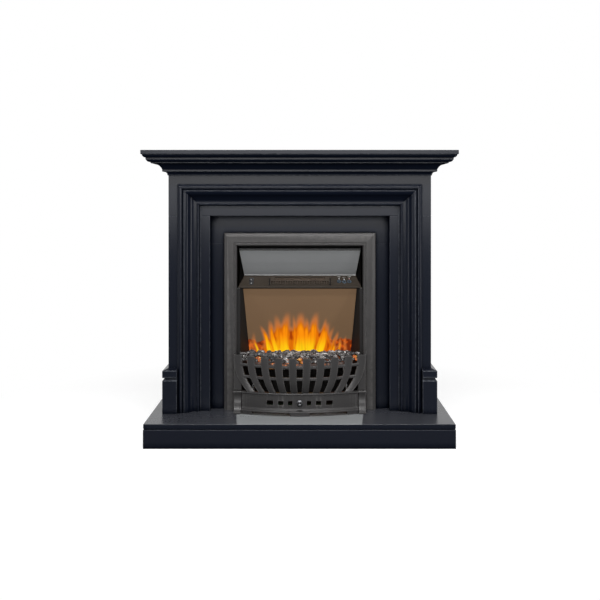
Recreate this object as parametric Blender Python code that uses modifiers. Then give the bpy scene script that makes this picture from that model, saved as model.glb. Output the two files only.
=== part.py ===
"""Electric fireplace suite: a lacquered mantel and hearth round an inset electric fire.

Metres. X runs to the right, Y towards the wall and Z up. The origin is on the floor, in the middle of the
hearth's width and depth. Everything sideways is measured from the middle, everything deep from the wall or
from the back panel, and everything high from the floor or from the top of the hearth.
"""

import math
import random

import bmesh
import bpy
from mathutils import Matrix, Vector

# Clearances
FIT = 0.0003
MITRE_FIT = FIT / math.sqrt(2)
RUNNING = 0.0005
BEHIND_CLEAR = 0.003

# Fire: casing and trim
CASING_WIDTH = 0.441
CASING_HEIGHT = 0.560
CASING_DEPTH = 0.165
CASING_CLEAR = 0.0015
SHEET = 0.0015
TRIM_SIDE_COVER = 0.0365
TRIM_TOP_COVER = 0.038
TRIM_FACE = 0.044
TRIM_DEPTH = 0.018
TRIM_BEVEL = 0.012
TRIM_EDGE = 0.006
TRIM_GROOVE = 0.004
TRIM_GROOVE_DEPTH = 0.003
TRIM_BEAD = 0.008
TRIM_WIDTH = CASING_WIDTH + 2 * TRIM_SIDE_COVER
TRIM_HEIGHT = CASING_HEIGHT + TRIM_TOP_COVER
TRIM_INNER_HALF = TRIM_WIDTH / 2 - TRIM_FACE

# Boards of the surround
BOARD = 0.018
HEARTH_BESIDE_MANTEL = 0.0573
HEARTH_BEFORE_MANTEL = 0.136
HEARTH_HEIGHT = 0.0785
HEARTH_BOARD = 0.016
HEARTH_EDGE_ROUND = 0.003
FASCIA_SETBACK = 0.0005
FASCIA_BEAD = 0.0022
BEHIND_CASING = 0.025
SHELF_BOARD = 0.0135
SHELF_OVERHANG = 0.078
SHELF_EDGE_ROUND = 0.0012
TOP_RAIL_HEIGHT = 0.060

# Cornice under the shelf: heights and steps of its members, from the bottom up
CORNICE_TOE = 0.003
COVE_OUT = 0.0165
COVE_TOP = 0.0093
FILLET_OUT = 0.0179
FILLET_HEIGHT = 0.0067
HOLLOW_OUT = 0.050
HOLLOW_HEIGHT = 0.0195
STEP_HEIGHT = 0.004
ROLL_OUT = 0.0627
ROLL_HEIGHT = 0.0071
BAND_OUT = 0.064
BAND_HEIGHT = 0.0064
OVOLO_OUT = 0.074
OVOLO_HEIGHT = 0.0105
ROUND_SHARE = 0.2
HOLLOW_SHARE = 0.17
CORNICE_HEIGHT = (
    CORNICE_TOE + COVE_TOP + FILLET_HEIGHT + HOLLOW_HEIGHT + STEP_HEIGHT + ROLL_HEIGHT + BAND_HEIGHT + OVOLO_HEIGHT
)

# Moulding and slip round the opening
BACK_PANEL_BESIDE_TRIM = 0.0454
BACK_PANEL_OVER_TRIM = 0.0579
FRAME_MARGIN = 0.0303
MOULDING_LAP = 0.020
SLIP_SETBACK = 0.024
SLIP_FACE = 0.030
SLIP_DEPTH = 0.030
OUTER_BEAD = 0.013
OUTER_BEAD_PROUD = 0.010
QUIRK = 0.003
SECOND_BEAD = 0.007
SECOND_BEAD_PROUD = 0.008
OGEE_WIDTH = 0.040
LIP_WIDTH = 0.008
LIP_PROUD = 0.007
INNER_QUIRK = 0.004
MOULDING_WIDTH = OUTER_BEAD + QUIRK + SECOND_BEAD + OGEE_WIDTH + LIP_WIDTH + INNER_QUIRK

# Plinths at the feet of the mantel
PLINTH_PROUD = 0.018
PLINTH_HEIGHT = 0.1135
PLINTH_CHAMFER = 0.004
PLINTH_NECK = 0.005
PLINTH_NECK_SET_IN = 0.006
CAP_HEIGHT = 0.025
CAP_SLOPE = 0.006

# Wall brackets
BRACKET_FLANGE = 0.030
BRACKET_HEIGHT = 0.045
BRACKET_SHEET = 0.002
BRACKET_HOLE_RADIUS = 0.003
BRACKET_DROP = 0.180

# Hood and control strip
HOOD_TOP_DROP = 0.0093
HOOD_FACE_HEIGHT = 0.0952
HOOD_SIDE_CLEAR = 0.0065
HOOD_TAPER = 0.015
HOOD_TOP_WIDTH = 2 * (TRIM_INNER_HALF - HOOD_SIDE_CLEAR)
HOOD_BOTTOM_WIDTH = HOOD_TOP_WIDTH - 2 * HOOD_TAPER
HOOD_FRONT_SET_IN = 0.013
HOOD_LEAN = 0.040
HOOD_HEM = 0.006
STRIP_HEIGHT = 0.033
STRIP_SIDE_CLEAR = 0.0047
STRIP_BOTTOM_WIDTH = 2 * (TRIM_INNER_HALF - STRIP_SIDE_CLEAR)
STRIP_LIP = 0.0045
GRILLE_FROM_TRIM = 0.107
GRILLE_WIDTH = 2 * (TRIM_INNER_HALF - GRILLE_FROM_TRIM)
GRILLE_HEIGHT = 0.038
GRILLE_START = 0.008
GRILLE_FRAME = 0.004
GRILLE_PITCH = 0.0083
GRILLE_HOLE_WIDTH = 0.0052
GRILLE_HOLE_HEIGHT = 0.0044
GRILLE_ROW_PITCH = 0.0072
GRILLE_WINDOW_INSET = 0.020
GRILLE_WINDOW_WIDTH = GRILLE_WIDTH - 2 * GRILLE_WINDOW_INSET
GRILLE_WINDOW_HEIGHT = 0.014
ROCKER_WIDTH = 0.0136
ROCKER_LENGTH = 0.030
ROCKER_DEPTH = 0.008
ROCKER_TILT = math.radians(9)
ROCKER_FROM_TRIM = 0.0474
ROCKER_X = ROCKER_FROM_TRIM - TRIM_INNER_HALF
CONTROLS_START = 0.023
BUTTON_RADIUS = 0.0065
BUTTON_PROUD = 0.0022
BUTTON_LENGTH = 0.009
BUTTON_TRAVEL = 0.0015
BUTTON_PITCH = 0.0175
BUTTONS_FROM_GRILLE = 0.0455
BUTTONS_X = GRILLE_WIDTH / 2 + BUTTONS_FROM_GRILLE
MIDDLE_BUTTON_DROP = 0.002
BOARD_PCB_WIDTH = 0.058
BOARD_PCB_LENGTH = 0.030
BOARD_PCB = 0.0016
PCB_POST_RADIUS = 0.0025

# Fan heater
BLOWER_BESIDE_GRILLE = 0.006
BLOWER_WIDTH = GRILLE_WIDTH + 2 * BLOWER_BESIDE_GRILLE
BLOWER_HEIGHT = 0.100
BLOWER_BACK_CLEAR = 0.008
WHEEL_RADIUS = 0.027
WHEEL_END_CLEAR = 0.012
WHEEL_LENGTH = BLOWER_WIDTH - 2 * WHEEL_END_CLEAR
WHEEL_BLADES = 14
WHEEL_DISC = 0.002
SHAFT_RADIUS = 0.003
FAN_MOTOR_RADIUS = 0.021
FAN_MOTOR_LENGTH = 0.034
ELEMENT_DEPTH = 0.010
ELEMENT_HEIGHT = 0.024
ELEMENT_FINS = 18

# Screen and cheeks
SCREEN = 0.004
SCREEN_TOP_DROP = 0.0072
SCREEN_TOP_SET_IN = 0.023
SCREEN_BOTTOM_DEPTH = 0.115
SCREEN_BOTTOM_HEIGHT = 0.140
SCREEN_SIDE_CLEAR = 0.0194
SCREEN_TAPER = 0.0186
SCREEN_TOP_WIDTH = 2 * (TRIM_INNER_HALF - SCREEN_SIDE_CLEAR)
SCREEN_BOTTOM_WIDTH = SCREEN_TOP_WIDTH - 2 * SCREEN_TAPER
CHEEK_FLANGE = 0.010
CHEEK_FLANGE_SET_IN = 0.010

# Fret, legs and ash-pit cover
FRET_LAP = 0.0065
FRET_HALF_WIDTH = TRIM_INNER_HALF + FRET_LAP
FRET_STILE = 0.025
FRET_STILE_PROUD = 0.036
FRET_STILE_HEIGHT = 0.117
FRET_WALL = 0.006
FRET_BARS = 10
FRET_END_INSET = 0.0125
FRET_GATHER = 0.0495
FRET_TOP_PITCH = 2 * (FRET_HALF_WIDTH - FRET_END_INSET) / (FRET_BARS - 1)
FRET_BOTTOM_PITCH = FRET_TOP_PITCH - 2 * FRET_GATHER / (FRET_BARS - 1)
FRET_TOP_BOW = 0.068
FRET_BAR_TOP_WIDTH = 0.026
FRET_BAR_BOTTOM_WIDTH = 0.022
FRET_BAR_HEIGHT = 0.1182
FRET_BAR_CURVE = 2.5
BAR_SIGHT = 0.05
FRET_RAIL = 0.010
FRET_RAIL_DROPS = (0.031, 0.070)
LEDGE_BOW = 0.044
LEDGE_HEIGHT = 0.008
LEDGE_STEP = 0.0015
LEDGE_DEPTH = 0.012
LEG_HEIGHT = 0.0735
LEG_WIDTH = 0.024
LEG_CAPITAL = 0.008
LEG_CAPITAL_PROUD = 0.003
LEG_KICK = 0.020
ASH_PANEL = 0.006
ASH_SIDE_CLEAR = 0.002
ASH_FOOT_HEIGHT = 0.011
ASH_FOOT_WIDTH = 0.036
ASH_CENTRE_FOOT_WIDTH = 0.064
ASH_MOULDING_HEIGHT = 0.013
ASH_MOULDING_PROUD = 0.007
VENT_HEIGHT_UP = 0.0425
VENTS = ((0.0306, 0.0127, 0.0127), (0.062, 0.016, 0.012), (0.098, 0.020, 0.013))
KNOB_RADIUS = 0.0095
KNOB_STEM = 0.005
KNOB_PLATE_RADIUS = 0.011
KNOB_PLATE = 0.0025

# Ember bed and flame effect
BED_HEIGHT = 0.157
BED_TRAY = 0.018
BED_FRONT_CLEAR = 0.003
BED_SIDE_CLEAR = 0.037
BED_WIDTH = 2 * (TRIM_INNER_HALF - BED_SIDE_CLEAR)
COAL_SIZE = 0.032
COAL_ROWS = 4
COAL_RISE = 0.026
BED_COLUMNS = 42
BED_ROWS = 14
SUPPORT_SIDE_INSET = 0.016
SUPPORT_WIDTH = BED_WIDTH - 2 * SUPPORT_SIDE_INSET
SUPPORT_WINDOW_INSET = 0.040
SUPPORT_WINDOW_WIDTH = SUPPORT_WIDTH - 2 * SUPPORT_WINDOW_INSET
SUPPORT_WINDOW_DEPTH = 0.050
SPINDLE_RADIUS = 0.014
SPINDLE_END_CLEAR = 0.0555
SPINDLE_LENGTH = CASING_WIDTH - 2 * SPINDLE_END_CLEAR
SPINDLE_HEIGHT = 0.118
SPINDLE_BACK_CLEAR = 0.012
SPINDLE_PADDLES = 9
PADDLE_SHEET = 0.0008
SPINDLE_MOTOR_SIZE = 0.036
SPINDLE_MOTOR_LENGTH = 0.022
BEARING_SIZE = 0.018
BEARING_LENGTH = 0.012
LAMP_BOARD_END_CLEAR = 0.030
LAMP_BOARD_WIDTH = SUPPORT_WIDTH - 2 * LAMP_BOARD_END_CLEAR
LAMP_BOARD_DEPTH = 0.024
LAMP_COUNT = 7
LAMP_RADIUS = 0.004
GLAND_RADIUS = 0.0085
GLAND_FLANGE = 0.011
GLAND_FROM_SIDE = 0.0605
GLAND_X = CASING_WIDTH / 2 - GLAND_FROM_SIDE
GLAND_HEIGHT = 0.030
ROUND_STEPS = 20

# Planes that follow from the sizes
MANTEL_DEPTH = SLIP_SETBACK + SLIP_DEPTH + CASING_DEPTH + BEHIND_CASING
HEARTH_DEPTH = MANTEL_DEPTH + HEARTH_BEFORE_MANTEL
WALL = HEARTH_DEPTH / 2
FACE = WALL - MANTEL_DEPTH
SLIP_PLANE = FACE + SLIP_SETBACK
BACK = SLIP_PLANE + SLIP_DEPTH
FLOOR = HEARTH_HEIGHT + FIT
SLIP_HALF = TRIM_WIDTH / 2 + BACK_PANEL_BESIDE_TRIM
SLIP_TOP = FLOOR + TRIM_HEIGHT + BACK_PANEL_OVER_TRIM
FRAME_HALF = SLIP_HALF + SLIP_FACE + MOULDING_WIDTH
FRAME_TOP = SLIP_TOP + SLIP_FACE + MOULDING_WIDTH
LAP_HALF = FRAME_HALF - MOULDING_LAP
LAP_TOP = FRAME_TOP - MOULDING_LAP
HALF = FRAME_HALF + FRAME_MARGIN
HEARTH_HALF = HALF + HEARTH_BESIDE_MANTEL
CORNICE_FOOT = FRAME_TOP + FRAME_MARGIN
SHELF_UNDER = CORNICE_FOOT + CORNICE_HEIGHT
SUITE_HEIGHT = SHELF_UNDER + SHELF_BOARD
BACK_OPENING_HALF = CASING_WIDTH / 2 + CASING_CLEAR
BACK_OPENING_TOP = FLOOR + CASING_HEIGHT + CASING_CLEAR
TRIM_FRONT = BACK - FIT - TRIM_DEPTH
TRIM_INNER_TOP = FLOOR + TRIM_HEIGHT - TRIM_FACE
HOOD_FRONT = TRIM_FRONT + HOOD_FRONT_SET_IN
HOOD_TOP = TRIM_INNER_TOP - HOOD_TOP_DROP
HOOD_BOTTOM = HOOD_TOP - HOOD_FACE_HEIGHT
STRIP_TOP = HOOD_BOTTOM - FIT
STRIP_FOOT = STRIP_TOP - STRIP_HEIGHT
STRIP_SLOPE = math.atan2(STRIP_HEIGHT, HOOD_LEAN)
STRIP_LENGTH = math.hypot(STRIP_HEIGHT, HOOD_LEAN)
SCREEN_TOP = STRIP_FOOT - SCREEN_TOP_DROP
SCREEN_TOP_Y = TRIM_FRONT + SCREEN_TOP_SET_IN
SCREEN_BOTTOM = FLOOR + SCREEN_BOTTOM_HEIGHT
SCREEN_BOTTOM_Y = TRIM_FRONT + SCREEN_BOTTOM_DEPTH
CASING_INSIDE = BACK + FIT + CASING_DEPTH - SHEET
FRET_FRONT = TRIM_FRONT - FIT - FRET_STILE_PROUD
FRET_FOOT = FLOOR + LEG_HEIGHT + FIT
LEDGE_TOP = FRET_FOOT + LEDGE_STEP
FRET_TOP = LEDGE_TOP + FRET_BAR_HEIGHT

FINISHES = {
    "lacquer": ((0.016, 0.019, 0.027), 0.32, 0.0),
    "cast": ((0.050, 0.048, 0.048), 0.55, 0.4),
    "hood_steel": ((0.16, 0.165, 0.17), 0.42, 0.6),
    "casing_steel": ((0.025, 0.024, 0.023), 0.60, 0.3),
    "strip": ((0.045, 0.036, 0.028), 0.50, 0.1),
    "galvanised": ((0.42, 0.43, 0.44), 0.45, 0.9),
    "plastic": ((0.020, 0.020, 0.022), 0.45, 0.0),
    "rocker": ((0.012, 0.012, 0.013), 0.35, 0.0),
    "button": ((0.020, 0.035, 0.055), 0.35, 0.2),
    "circuit": ((0.020, 0.110, 0.060), 0.50, 0.0),
    "element": ((0.35, 0.25, 0.18), 0.50, 0.7),
    "screen": ((0.150, 0.086, 0.046), 0.18, 0.0),
    "ember": ((0.060, 0.045, 0.040), 0.90, 0.0),
    "steel": ((0.55, 0.55, 0.56), 0.25, 1.0),
}

SIDES = (("left", -1), ("right", 1))


def empty_scene():
    for thing in list(bpy.data.objects):
        bpy.data.objects.remove(thing, do_unlink=True)
    for group in list(bpy.data.collections):
        bpy.data.collections.remove(group)


def new_collection(name):
    group = bpy.data.collections.new(name)
    bpy.context.scene.collection.children.link(group)
    return group


def finish_material(finish, node):
    """Each part has a material of its own."""
    colour, roughness, metallic = FINISHES[finish]
    material = bpy.data.materials.new(node + "_" + finish)
    material.use_nodes = True
    shader = material.node_tree.nodes["Principled BSDF"]
    shader.inputs["Base Color"].default_value = (*colour, 1.0)
    shader.inputs["Roughness"].default_value = roughness
    shader.inputs["Metallic"].default_value = metallic
    return material


def solid(name, finish, bm, smooth=False):
    """Turns a bmesh into a part. Without a finish it is a guide that cuts or joins another part."""
    bmesh.ops.recalc_face_normals(bm, faces=bm.faces)
    mesh = bpy.data.meshes.new(name)
    bm.to_mesh(mesh)
    bm.free()
    piece = bpy.data.objects.new(name, mesh)
    if finish is None:
        GUIDES.objects.link(piece)
        piece.hide_render = True
        piece.display_type = "WIRE"
        return piece
    PARTS.objects.link(piece)
    mesh.materials.append(finish_material(finish, name))
    if smooth:
        mesh.shade_smooth()
        mesh.set_sharp_from_angle(angle=math.radians(35))
    return piece


def block(name, finish, low, high, edge_round=0.0):
    """A box between two corners, given in any order."""
    low, high = Vector(map(min, low, high)), Vector(map(max, low, high))
    bm = bmesh.new()
    bmesh.ops.create_cube(bm, size=1.0)
    bmesh.ops.scale(bm, vec=high - low, verts=bm.verts)
    bmesh.ops.translate(bm, vec=(low + high) / 2, verts=bm.verts)
    piece = solid(name, finish, bm)
    if edge_round:
        bevel = piece.modifiers.new("edges", "BEVEL")
        bevel.width = edge_round
        bevel.segments = 2
    return piece


def prism(name, finish, outline, start, end, place=None, smooth=False):
    """Extrudes an outline of (y, z) points along X from start to end. place moves the result."""
    bm = bmesh.new()
    corners = [bm.verts.new((start, y, z)) for y, z in outline]
    face = bm.faces.new(corners)
    grown = bmesh.ops.extrude_face_region(bm, geom=[face])
    moved = [item for item in grown["geom"] if isinstance(item, bmesh.types.BMVert)]
    bmesh.ops.translate(bm, vec=(end - start, 0, 0), verts=moved)
    if place is not None:
        bmesh.ops.transform(bm, matrix=place, verts=bm.verts)
    return solid(name, finish, bm, smooth)


def rod(name, finish, radius, start, end, centre, axis="X", steps=ROUND_STEPS):
    """A round bar along X or Z, from start to end. centre gives its other two coordinates."""
    bm = bmesh.new()
    bmesh.ops.create_cone(
        bm, cap_ends=True, segments=steps, radius1=radius, radius2=radius, depth=abs(end - start)
    )
    middle = (start + end) / 2
    if axis == "X":
        bmesh.ops.rotate(bm, matrix=Matrix.Rotation(math.pi / 2, 3, "Y"), verts=bm.verts)
        offset = Vector((middle, *centre))
    else:
        offset = Vector((*centre, middle))
    bmesh.ops.translate(bm, vec=offset, verts=bm.verts)
    return solid(name, finish, bm, smooth=True)


def moulding(name, finish, outline, route, up, start_from=None, end_to=None, smooth=False):
    """Carries an outline of (out, up) points along a route, mitred at each corner.

    out lies to the right of the route as seen with up towards the eye. start_from and end_to are the
    directions of the neighbours that the ends are mitred to.
    """
    up = Vector(up)
    route = [Vector(point) for point in route]
    runs = [(after - before).normalized() for before, after in zip(route, route[1:])]
    incoming = [Vector(start_from) if start_from else runs[0]] + runs
    outgoing = runs + [Vector(end_to) if end_to else runs[-1]]
    rings = []
    for point, before, after in zip(route, incoming, outgoing):
        right_before, right_after = before.cross(up), after.cross(up)
        mitre = (right_before + right_after) / (1 + right_before.dot(right_after))
        rings.append([point + mitre * out + up * height for out, height in outline])
    bm = bmesh.new()
    end_face = bm.faces.new([bm.verts.new(place) for place in rings[0]])
    for index, ring in enumerate(rings[1:]):
        inner_face = end_face
        grown = bmesh.ops.extrude_face_region(bm, geom=[end_face])
        end_face = next(item for item in grown["geom"] if isinstance(item, bmesh.types.BMFace))
        if index:
            bmesh.ops.delete(bm, geom=[inner_face], context="FACES_ONLY")
        for vert, place in zip(end_face.verts, ring):
            vert.co = place
    return solid(name, finish, bm, smooth)


def sheet(name, finish, rows, thickness, place=None, smooth=False):
    """A bent sheet through rows of points. Its thickness grows against the side that the rows face."""
    bm = bmesh.new()
    grid = [[bm.verts.new(point) for point in row] for row in rows]
    for lower, upper in zip(grid, grid[1:]):
        for index in range(len(lower) - 1):
            bm.faces.new((lower[index], lower[index + 1], upper[index + 1], upper[index]))
    if place is not None:
        bmesh.ops.transform(bm, matrix=place, verts=bm.verts)
    piece = solid_open(name, finish, bm, smooth)
    shell = piece.modifiers.new("thickness", "SOLIDIFY")
    shell.thickness = thickness
    shell.offset = -1.0
    shell.use_even_offset = True
    return piece


def solid_open(name, finish, bm, smooth):
    """Like solid, for an open surface whose faces keep the side that they were drawn with."""
    mesh = bpy.data.meshes.new(name)
    bm.to_mesh(mesh)
    bm.free()
    piece = bpy.data.objects.new(name, mesh)
    if finish is None:
        GUIDES.objects.link(piece)
        piece.hide_render = True
        piece.display_type = "WIRE"
    else:
        PARTS.objects.link(piece)
        mesh.materials.append(finish_material(finish, name))
    if smooth:
        mesh.shade_smooth()
        mesh.set_sharp_from_angle(angle=math.radians(35))
    return piece


def combine(piece, operation, guides):
    for guide in guides:
        step = piece.modifiers.new(operation.lower() + "_" + guide.name, "BOOLEAN")
        step.operation = operation
        step.solver = "EXACT"
        step.object = guide
    return piece


def cut(piece, *guides):
    return combine(piece, "DIFFERENCE", guides)


def join(piece, *guides):
    return combine(piece, "UNION", guides)


def arc(start, end, bulge, steps=5):
    """Points after start up to end, on the arc whose middle lies bulge to the left of the straight line."""
    start, end = Vector(start), Vector(end)
    chord = end - start
    left = Vector((-chord.y, chord.x)).normalized()
    radius = (chord.length_squared / 4 + bulge**2) / (2 * abs(bulge))
    side = math.copysign(1.0, bulge)
    centre = (start + end) / 2 + left * (bulge - side * radius)
    half_angle = math.asin(min(1.0, chord.length / (2 * radius)))
    points = []
    for step in range(1, steps + 1):
        angle = half_angle * (2 * step / steps - 1)
        offset = left * (side * radius * math.cos(angle)) + chord.normalized() * (radius * math.sin(angle))
        points.append(tuple(centre + offset))
    return points


def bow(x, half_width, rise):
    """How far a bow of the given rise stands out at x, over a chord of twice half_width."""
    radius = (half_width**2 + rise**2) / (2 * rise)
    return math.sqrt(max(radius**2 - x**2, 0.0)) - (radius - rise)


def make_hearth():
    half = HEARTH_HALF
    under = HEARTH_HEIGHT - HEARTH_BOARD
    block(
        "hearth_top", "lacquer", (-half, -WALL, under), (half, WALL, HEARTH_HEIGHT), edge_round=HEARTH_EDGE_ROUND
    )
    top = under - FIT
    front = -WALL + FASCIA_SETBACK
    side = half - FASCIA_SETBACK
    # Measured outwards from the inner face of the fascia, with a small bead along its top
    bead_foot = top - FASCIA_BEAD
    outline = [(0, 0), (BOARD, 0), (BOARD, bead_foot)]
    outline += arc((BOARD, bead_foot), (BOARD, top), -FASCIA_BEAD / 2, steps=4)
    outline += [(0, top)]
    inner_front, inner_side = front + BOARD, side - BOARD
    up = (0, 0, 1)
    moulding(
        "hearth_fascia_front", "lacquer", outline,
        [(-inner_side + MITRE_FIT, inner_front, 0), (inner_side - MITRE_FIT, inner_front, 0)],
        up, start_from=(0, -1, 0), end_to=(0, 1, 0),
    )
    moulding(
        "hearth_fascia_left", "lacquer", outline,
        [(-inner_side, WALL, 0), (-inner_side, inner_front + MITRE_FIT, 0)], up, end_to=(1, 0, 0),
    )
    moulding(
        "hearth_fascia_right", "lacquer", outline,
        [(inner_side, inner_front + MITRE_FIT, 0), (inner_side, WALL, 0)], up, start_from=(1, 0, 0),
    )
    inside = inner_side - FIT
    block("hearth_rear_rail", "lacquer", (-inside, WALL - BOARD, 0), (inside, WALL, top))
    block(
        "hearth_batten", "lacquer",
        (-BOARD / 2, inner_front + FIT, 0), (BOARD / 2, WALL - BOARD - FIT, top),
    )


def cornice_outline():
    """Out from the face of the mantel and up from the foot of the cornice."""
    cove_foot = (CORNICE_TOE, CORNICE_TOE)
    cove_head = (COVE_OUT, CORNICE_TOE + COVE_TOP)
    fillet_foot = (FILLET_OUT, cove_head[1])
    fillet_head = (FILLET_OUT, fillet_foot[1] + FILLET_HEIGHT)
    hollow_head = (HOLLOW_OUT, fillet_head[1] + HOLLOW_HEIGHT)
    step_head = (HOLLOW_OUT, hollow_head[1] + STEP_HEIGHT)
    roll_foot = (HOLLOW_OUT + CORNICE_TOE / 2, step_head[1])
    roll_head = (ROLL_OUT, step_head[1] + ROLL_HEIGHT)
    band_foot = (BAND_OUT, roll_head[1])
    band_head = (BAND_OUT, band_foot[1] + BAND_HEIGHT)
    ovolo_head = (OVOLO_OUT, band_head[1] + OVOLO_HEIGHT - FIT)
    cove_depth = math.dist(cove_foot, cove_head) * ROUND_SHARE
    hollow_depth = math.dist(fillet_head, hollow_head) * HOLLOW_SHARE
    roll_depth = math.dist(roll_foot, roll_head) * ROUND_SHARE
    ovolo_depth = math.dist(band_head, ovolo_head) * ROUND_SHARE
    outline = [(FIT, 0), (CORNICE_TOE, 0), cove_foot]
    outline += arc(cove_foot, cove_head, cove_depth)
    outline += [fillet_foot, fillet_head]
    outline += arc(fillet_head, hollow_head, hollow_depth, steps=8)
    outline += [step_head, roll_foot]
    outline += arc(roll_foot, roll_head, -roll_depth)
    outline += [band_foot, band_head]
    outline += arc(band_head, ovolo_head, -ovolo_depth)
    outline += [(FIT, ovolo_head[1])]
    return outline


def make_mantel():
    shelf_half = HALF + SHELF_OVERHANG
    block(
        "mantel_shelf", "lacquer", (-shelf_half, FACE - SHELF_OVERHANG, SHELF_UNDER), (shelf_half, WALL, SUITE_HEIGHT),
        edge_round=SHELF_EDGE_ROUND,
    )
    up = (0, 0, 1)
    outline = cornice_outline()
    foot = CORNICE_FOOT
    moulding(
        "cornice_front", "lacquer", outline,
        [(-HALF + MITRE_FIT, FACE, foot), (HALF - MITRE_FIT, FACE, foot)],
        up, start_from=(0, -1, 0), end_to=(0, 1, 0), smooth=True,
    )
    moulding(
        "cornice_left", "lacquer", outline,
        [(-HALF, WALL, foot), (-HALF, FACE + MITRE_FIT, foot)], up, end_to=(1, 0, 0), smooth=True,
    )
    moulding(
        "cornice_right", "lacquer", outline,
        [(HALF, FACE + MITRE_FIT, foot), (HALF, WALL, foot)], up, start_from=(1, 0, 0), smooth=True,
    )
    head = SHELF_UNDER - FIT
    header = [
        (-HALF, SLIP_TOP), (-LAP_HALF, SLIP_TOP), (-LAP_HALF, LAP_TOP), (LAP_HALF, LAP_TOP),
        (LAP_HALF, SLIP_TOP), (HALF, SLIP_TOP), (HALF, head), (-HALF, head),
    ]
    turned_across = Matrix.Rotation(math.radians(-90), 4, "Z")
    prism("frieze_board", "lacquer", header, -FACE - BOARD, -FACE, place=turned_across)
    for name, side in SIDES:
        block(
            "jamb_" + name, "lacquer",
            (side * LAP_HALF, FACE, FLOOR), (side * HALF, FACE + BOARD, SLIP_TOP - FIT),
        )
        block(
            "side_panel_" + name, "lacquer",
            (side * (HALF - BOARD), FACE + BOARD + FIT, FLOOR), (side * HALF, WALL, head),
        )
    rail_half = HALF - BOARD - FIT
    block("rear_top_rail", "lacquer", (-rail_half, WALL - BOARD, head - TOP_RAIL_HEIGHT), (rail_half, WALL, head))


def moulding_outline():
    """In from the outer edge of the frame and proud of the face of the slip."""
    seat = SLIP_SETBACK + FIT
    bead_proud = SLIP_SETBACK + OUTER_BEAD_PROUD
    quirk_floor = SLIP_SETBACK + OUTER_BEAD_PROUD / 2
    second_proud = SLIP_SETBACK + SECOND_BEAD_PROUD
    bead_end = OUTER_BEAD
    quirk_end = bead_end + QUIRK
    second_end = quirk_end + SECOND_BEAD
    ogee_end = second_end + OGEE_WIDTH
    lip_end = ogee_end + LIP_WIDTH
    ogee_foot = (ogee_end, LIP_PROUD)
    ogee_head = (second_end, second_proud - SECOND_BEAD / 2)
    ogee_middle = (
        ogee_head[0] + (ogee_foot[0] - ogee_head[0]) * 0.35,
        ogee_head[1] + (ogee_foot[1] - ogee_head[1]) * 0.45,
    )
    swell = math.dist(ogee_head, ogee_middle) * 0.12
    hollow = math.dist(ogee_middle, ogee_foot) * 0.14
    outline = [(0, seat), (0, bead_proud - OUTER_BEAD_PROUD / 2)]
    outline += arc(outline[-1], (bead_end, bead_proud - OUTER_BEAD_PROUD / 4), OUTER_BEAD * 0.3, steps=6)
    outline += [(bead_end, quirk_floor), (quirk_end, quirk_floor), (quirk_end, ogee_head[1])]
    outline += arc(outline[-1], ogee_head, SECOND_BEAD * 0.35)
    outline += arc(ogee_head, ogee_middle, swell, steps=4)
    outline += arc(ogee_middle, ogee_foot, -hollow, steps=6)
    outline += [(ogee_end, LIP_PROUD + QUIRK)]
    outline += arc(outline[-1], (lip_end, QUIRK), LIP_WIDTH * 0.25)
    outline += [(lip_end, QUIRK / 2), (MOULDING_WIDTH, QUIRK / 2), (MOULDING_WIDTH, FIT)]
    outline += [(MOULDING_LAP + FIT, FIT), (MOULDING_LAP + FIT, seat)]
    return outline


def make_frame():
    """The mitred moulding round the opening, and the slip boards inside it."""
    outline = moulding_outline()
    up, right, down = Vector((0, 0, 1)), Vector((1, 0, 0)), Vector((0, 0, -1))
    proud = (0, -1, 0)
    head = FRAME_TOP - MITRE_FIT
    moulding(
        "moulding_left", "lacquer", outline,
        [(-FRAME_HALF, SLIP_PLANE, FLOOR), (-FRAME_HALF, SLIP_PLANE, head)], proud, end_to=right, smooth=True,
    )
    moulding(
        "moulding_top", "lacquer", outline,
        [(-FRAME_HALF + MITRE_FIT, SLIP_PLANE, FRAME_TOP), (FRAME_HALF - MITRE_FIT, SLIP_PLANE, FRAME_TOP)],
        proud, start_from=up, end_to=down, smooth=True,
    )
    moulding(
        "moulding_right", "lacquer", outline,
        [(FRAME_HALF, SLIP_PLANE, head), (FRAME_HALF, SLIP_PLANE, FLOOR)], proud, start_from=right, smooth=True,
    )
    slip_outer = LAP_HALF - FIT
    slip_back = BACK - FIT
    block(
        "slip_top", "lacquer",
        (-slip_outer, SLIP_PLANE, SLIP_TOP), (slip_outer, slip_back, LAP_TOP - FIT),
    )
    back_top = LAP_TOP - FIT
    block(
        "back_panel_top", "lacquer",
        (-slip_outer, BACK, BACK_OPENING_TOP), (slip_outer, BACK + BOARD, back_top),
    )
    for name, side in SIDES:
        block(
            "slip_" + name, "lacquer",
            (side * SLIP_HALF, SLIP_PLANE, FLOOR), (side * slip_outer, slip_back, SLIP_TOP - FIT),
        )
        block(
            "back_panel_" + name, "lacquer",
            (side * BACK_OPENING_HALF, BACK, FLOOR), (side * slip_outer, BACK + BOARD, BACK_OPENING_TOP - FIT),
        )


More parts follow.
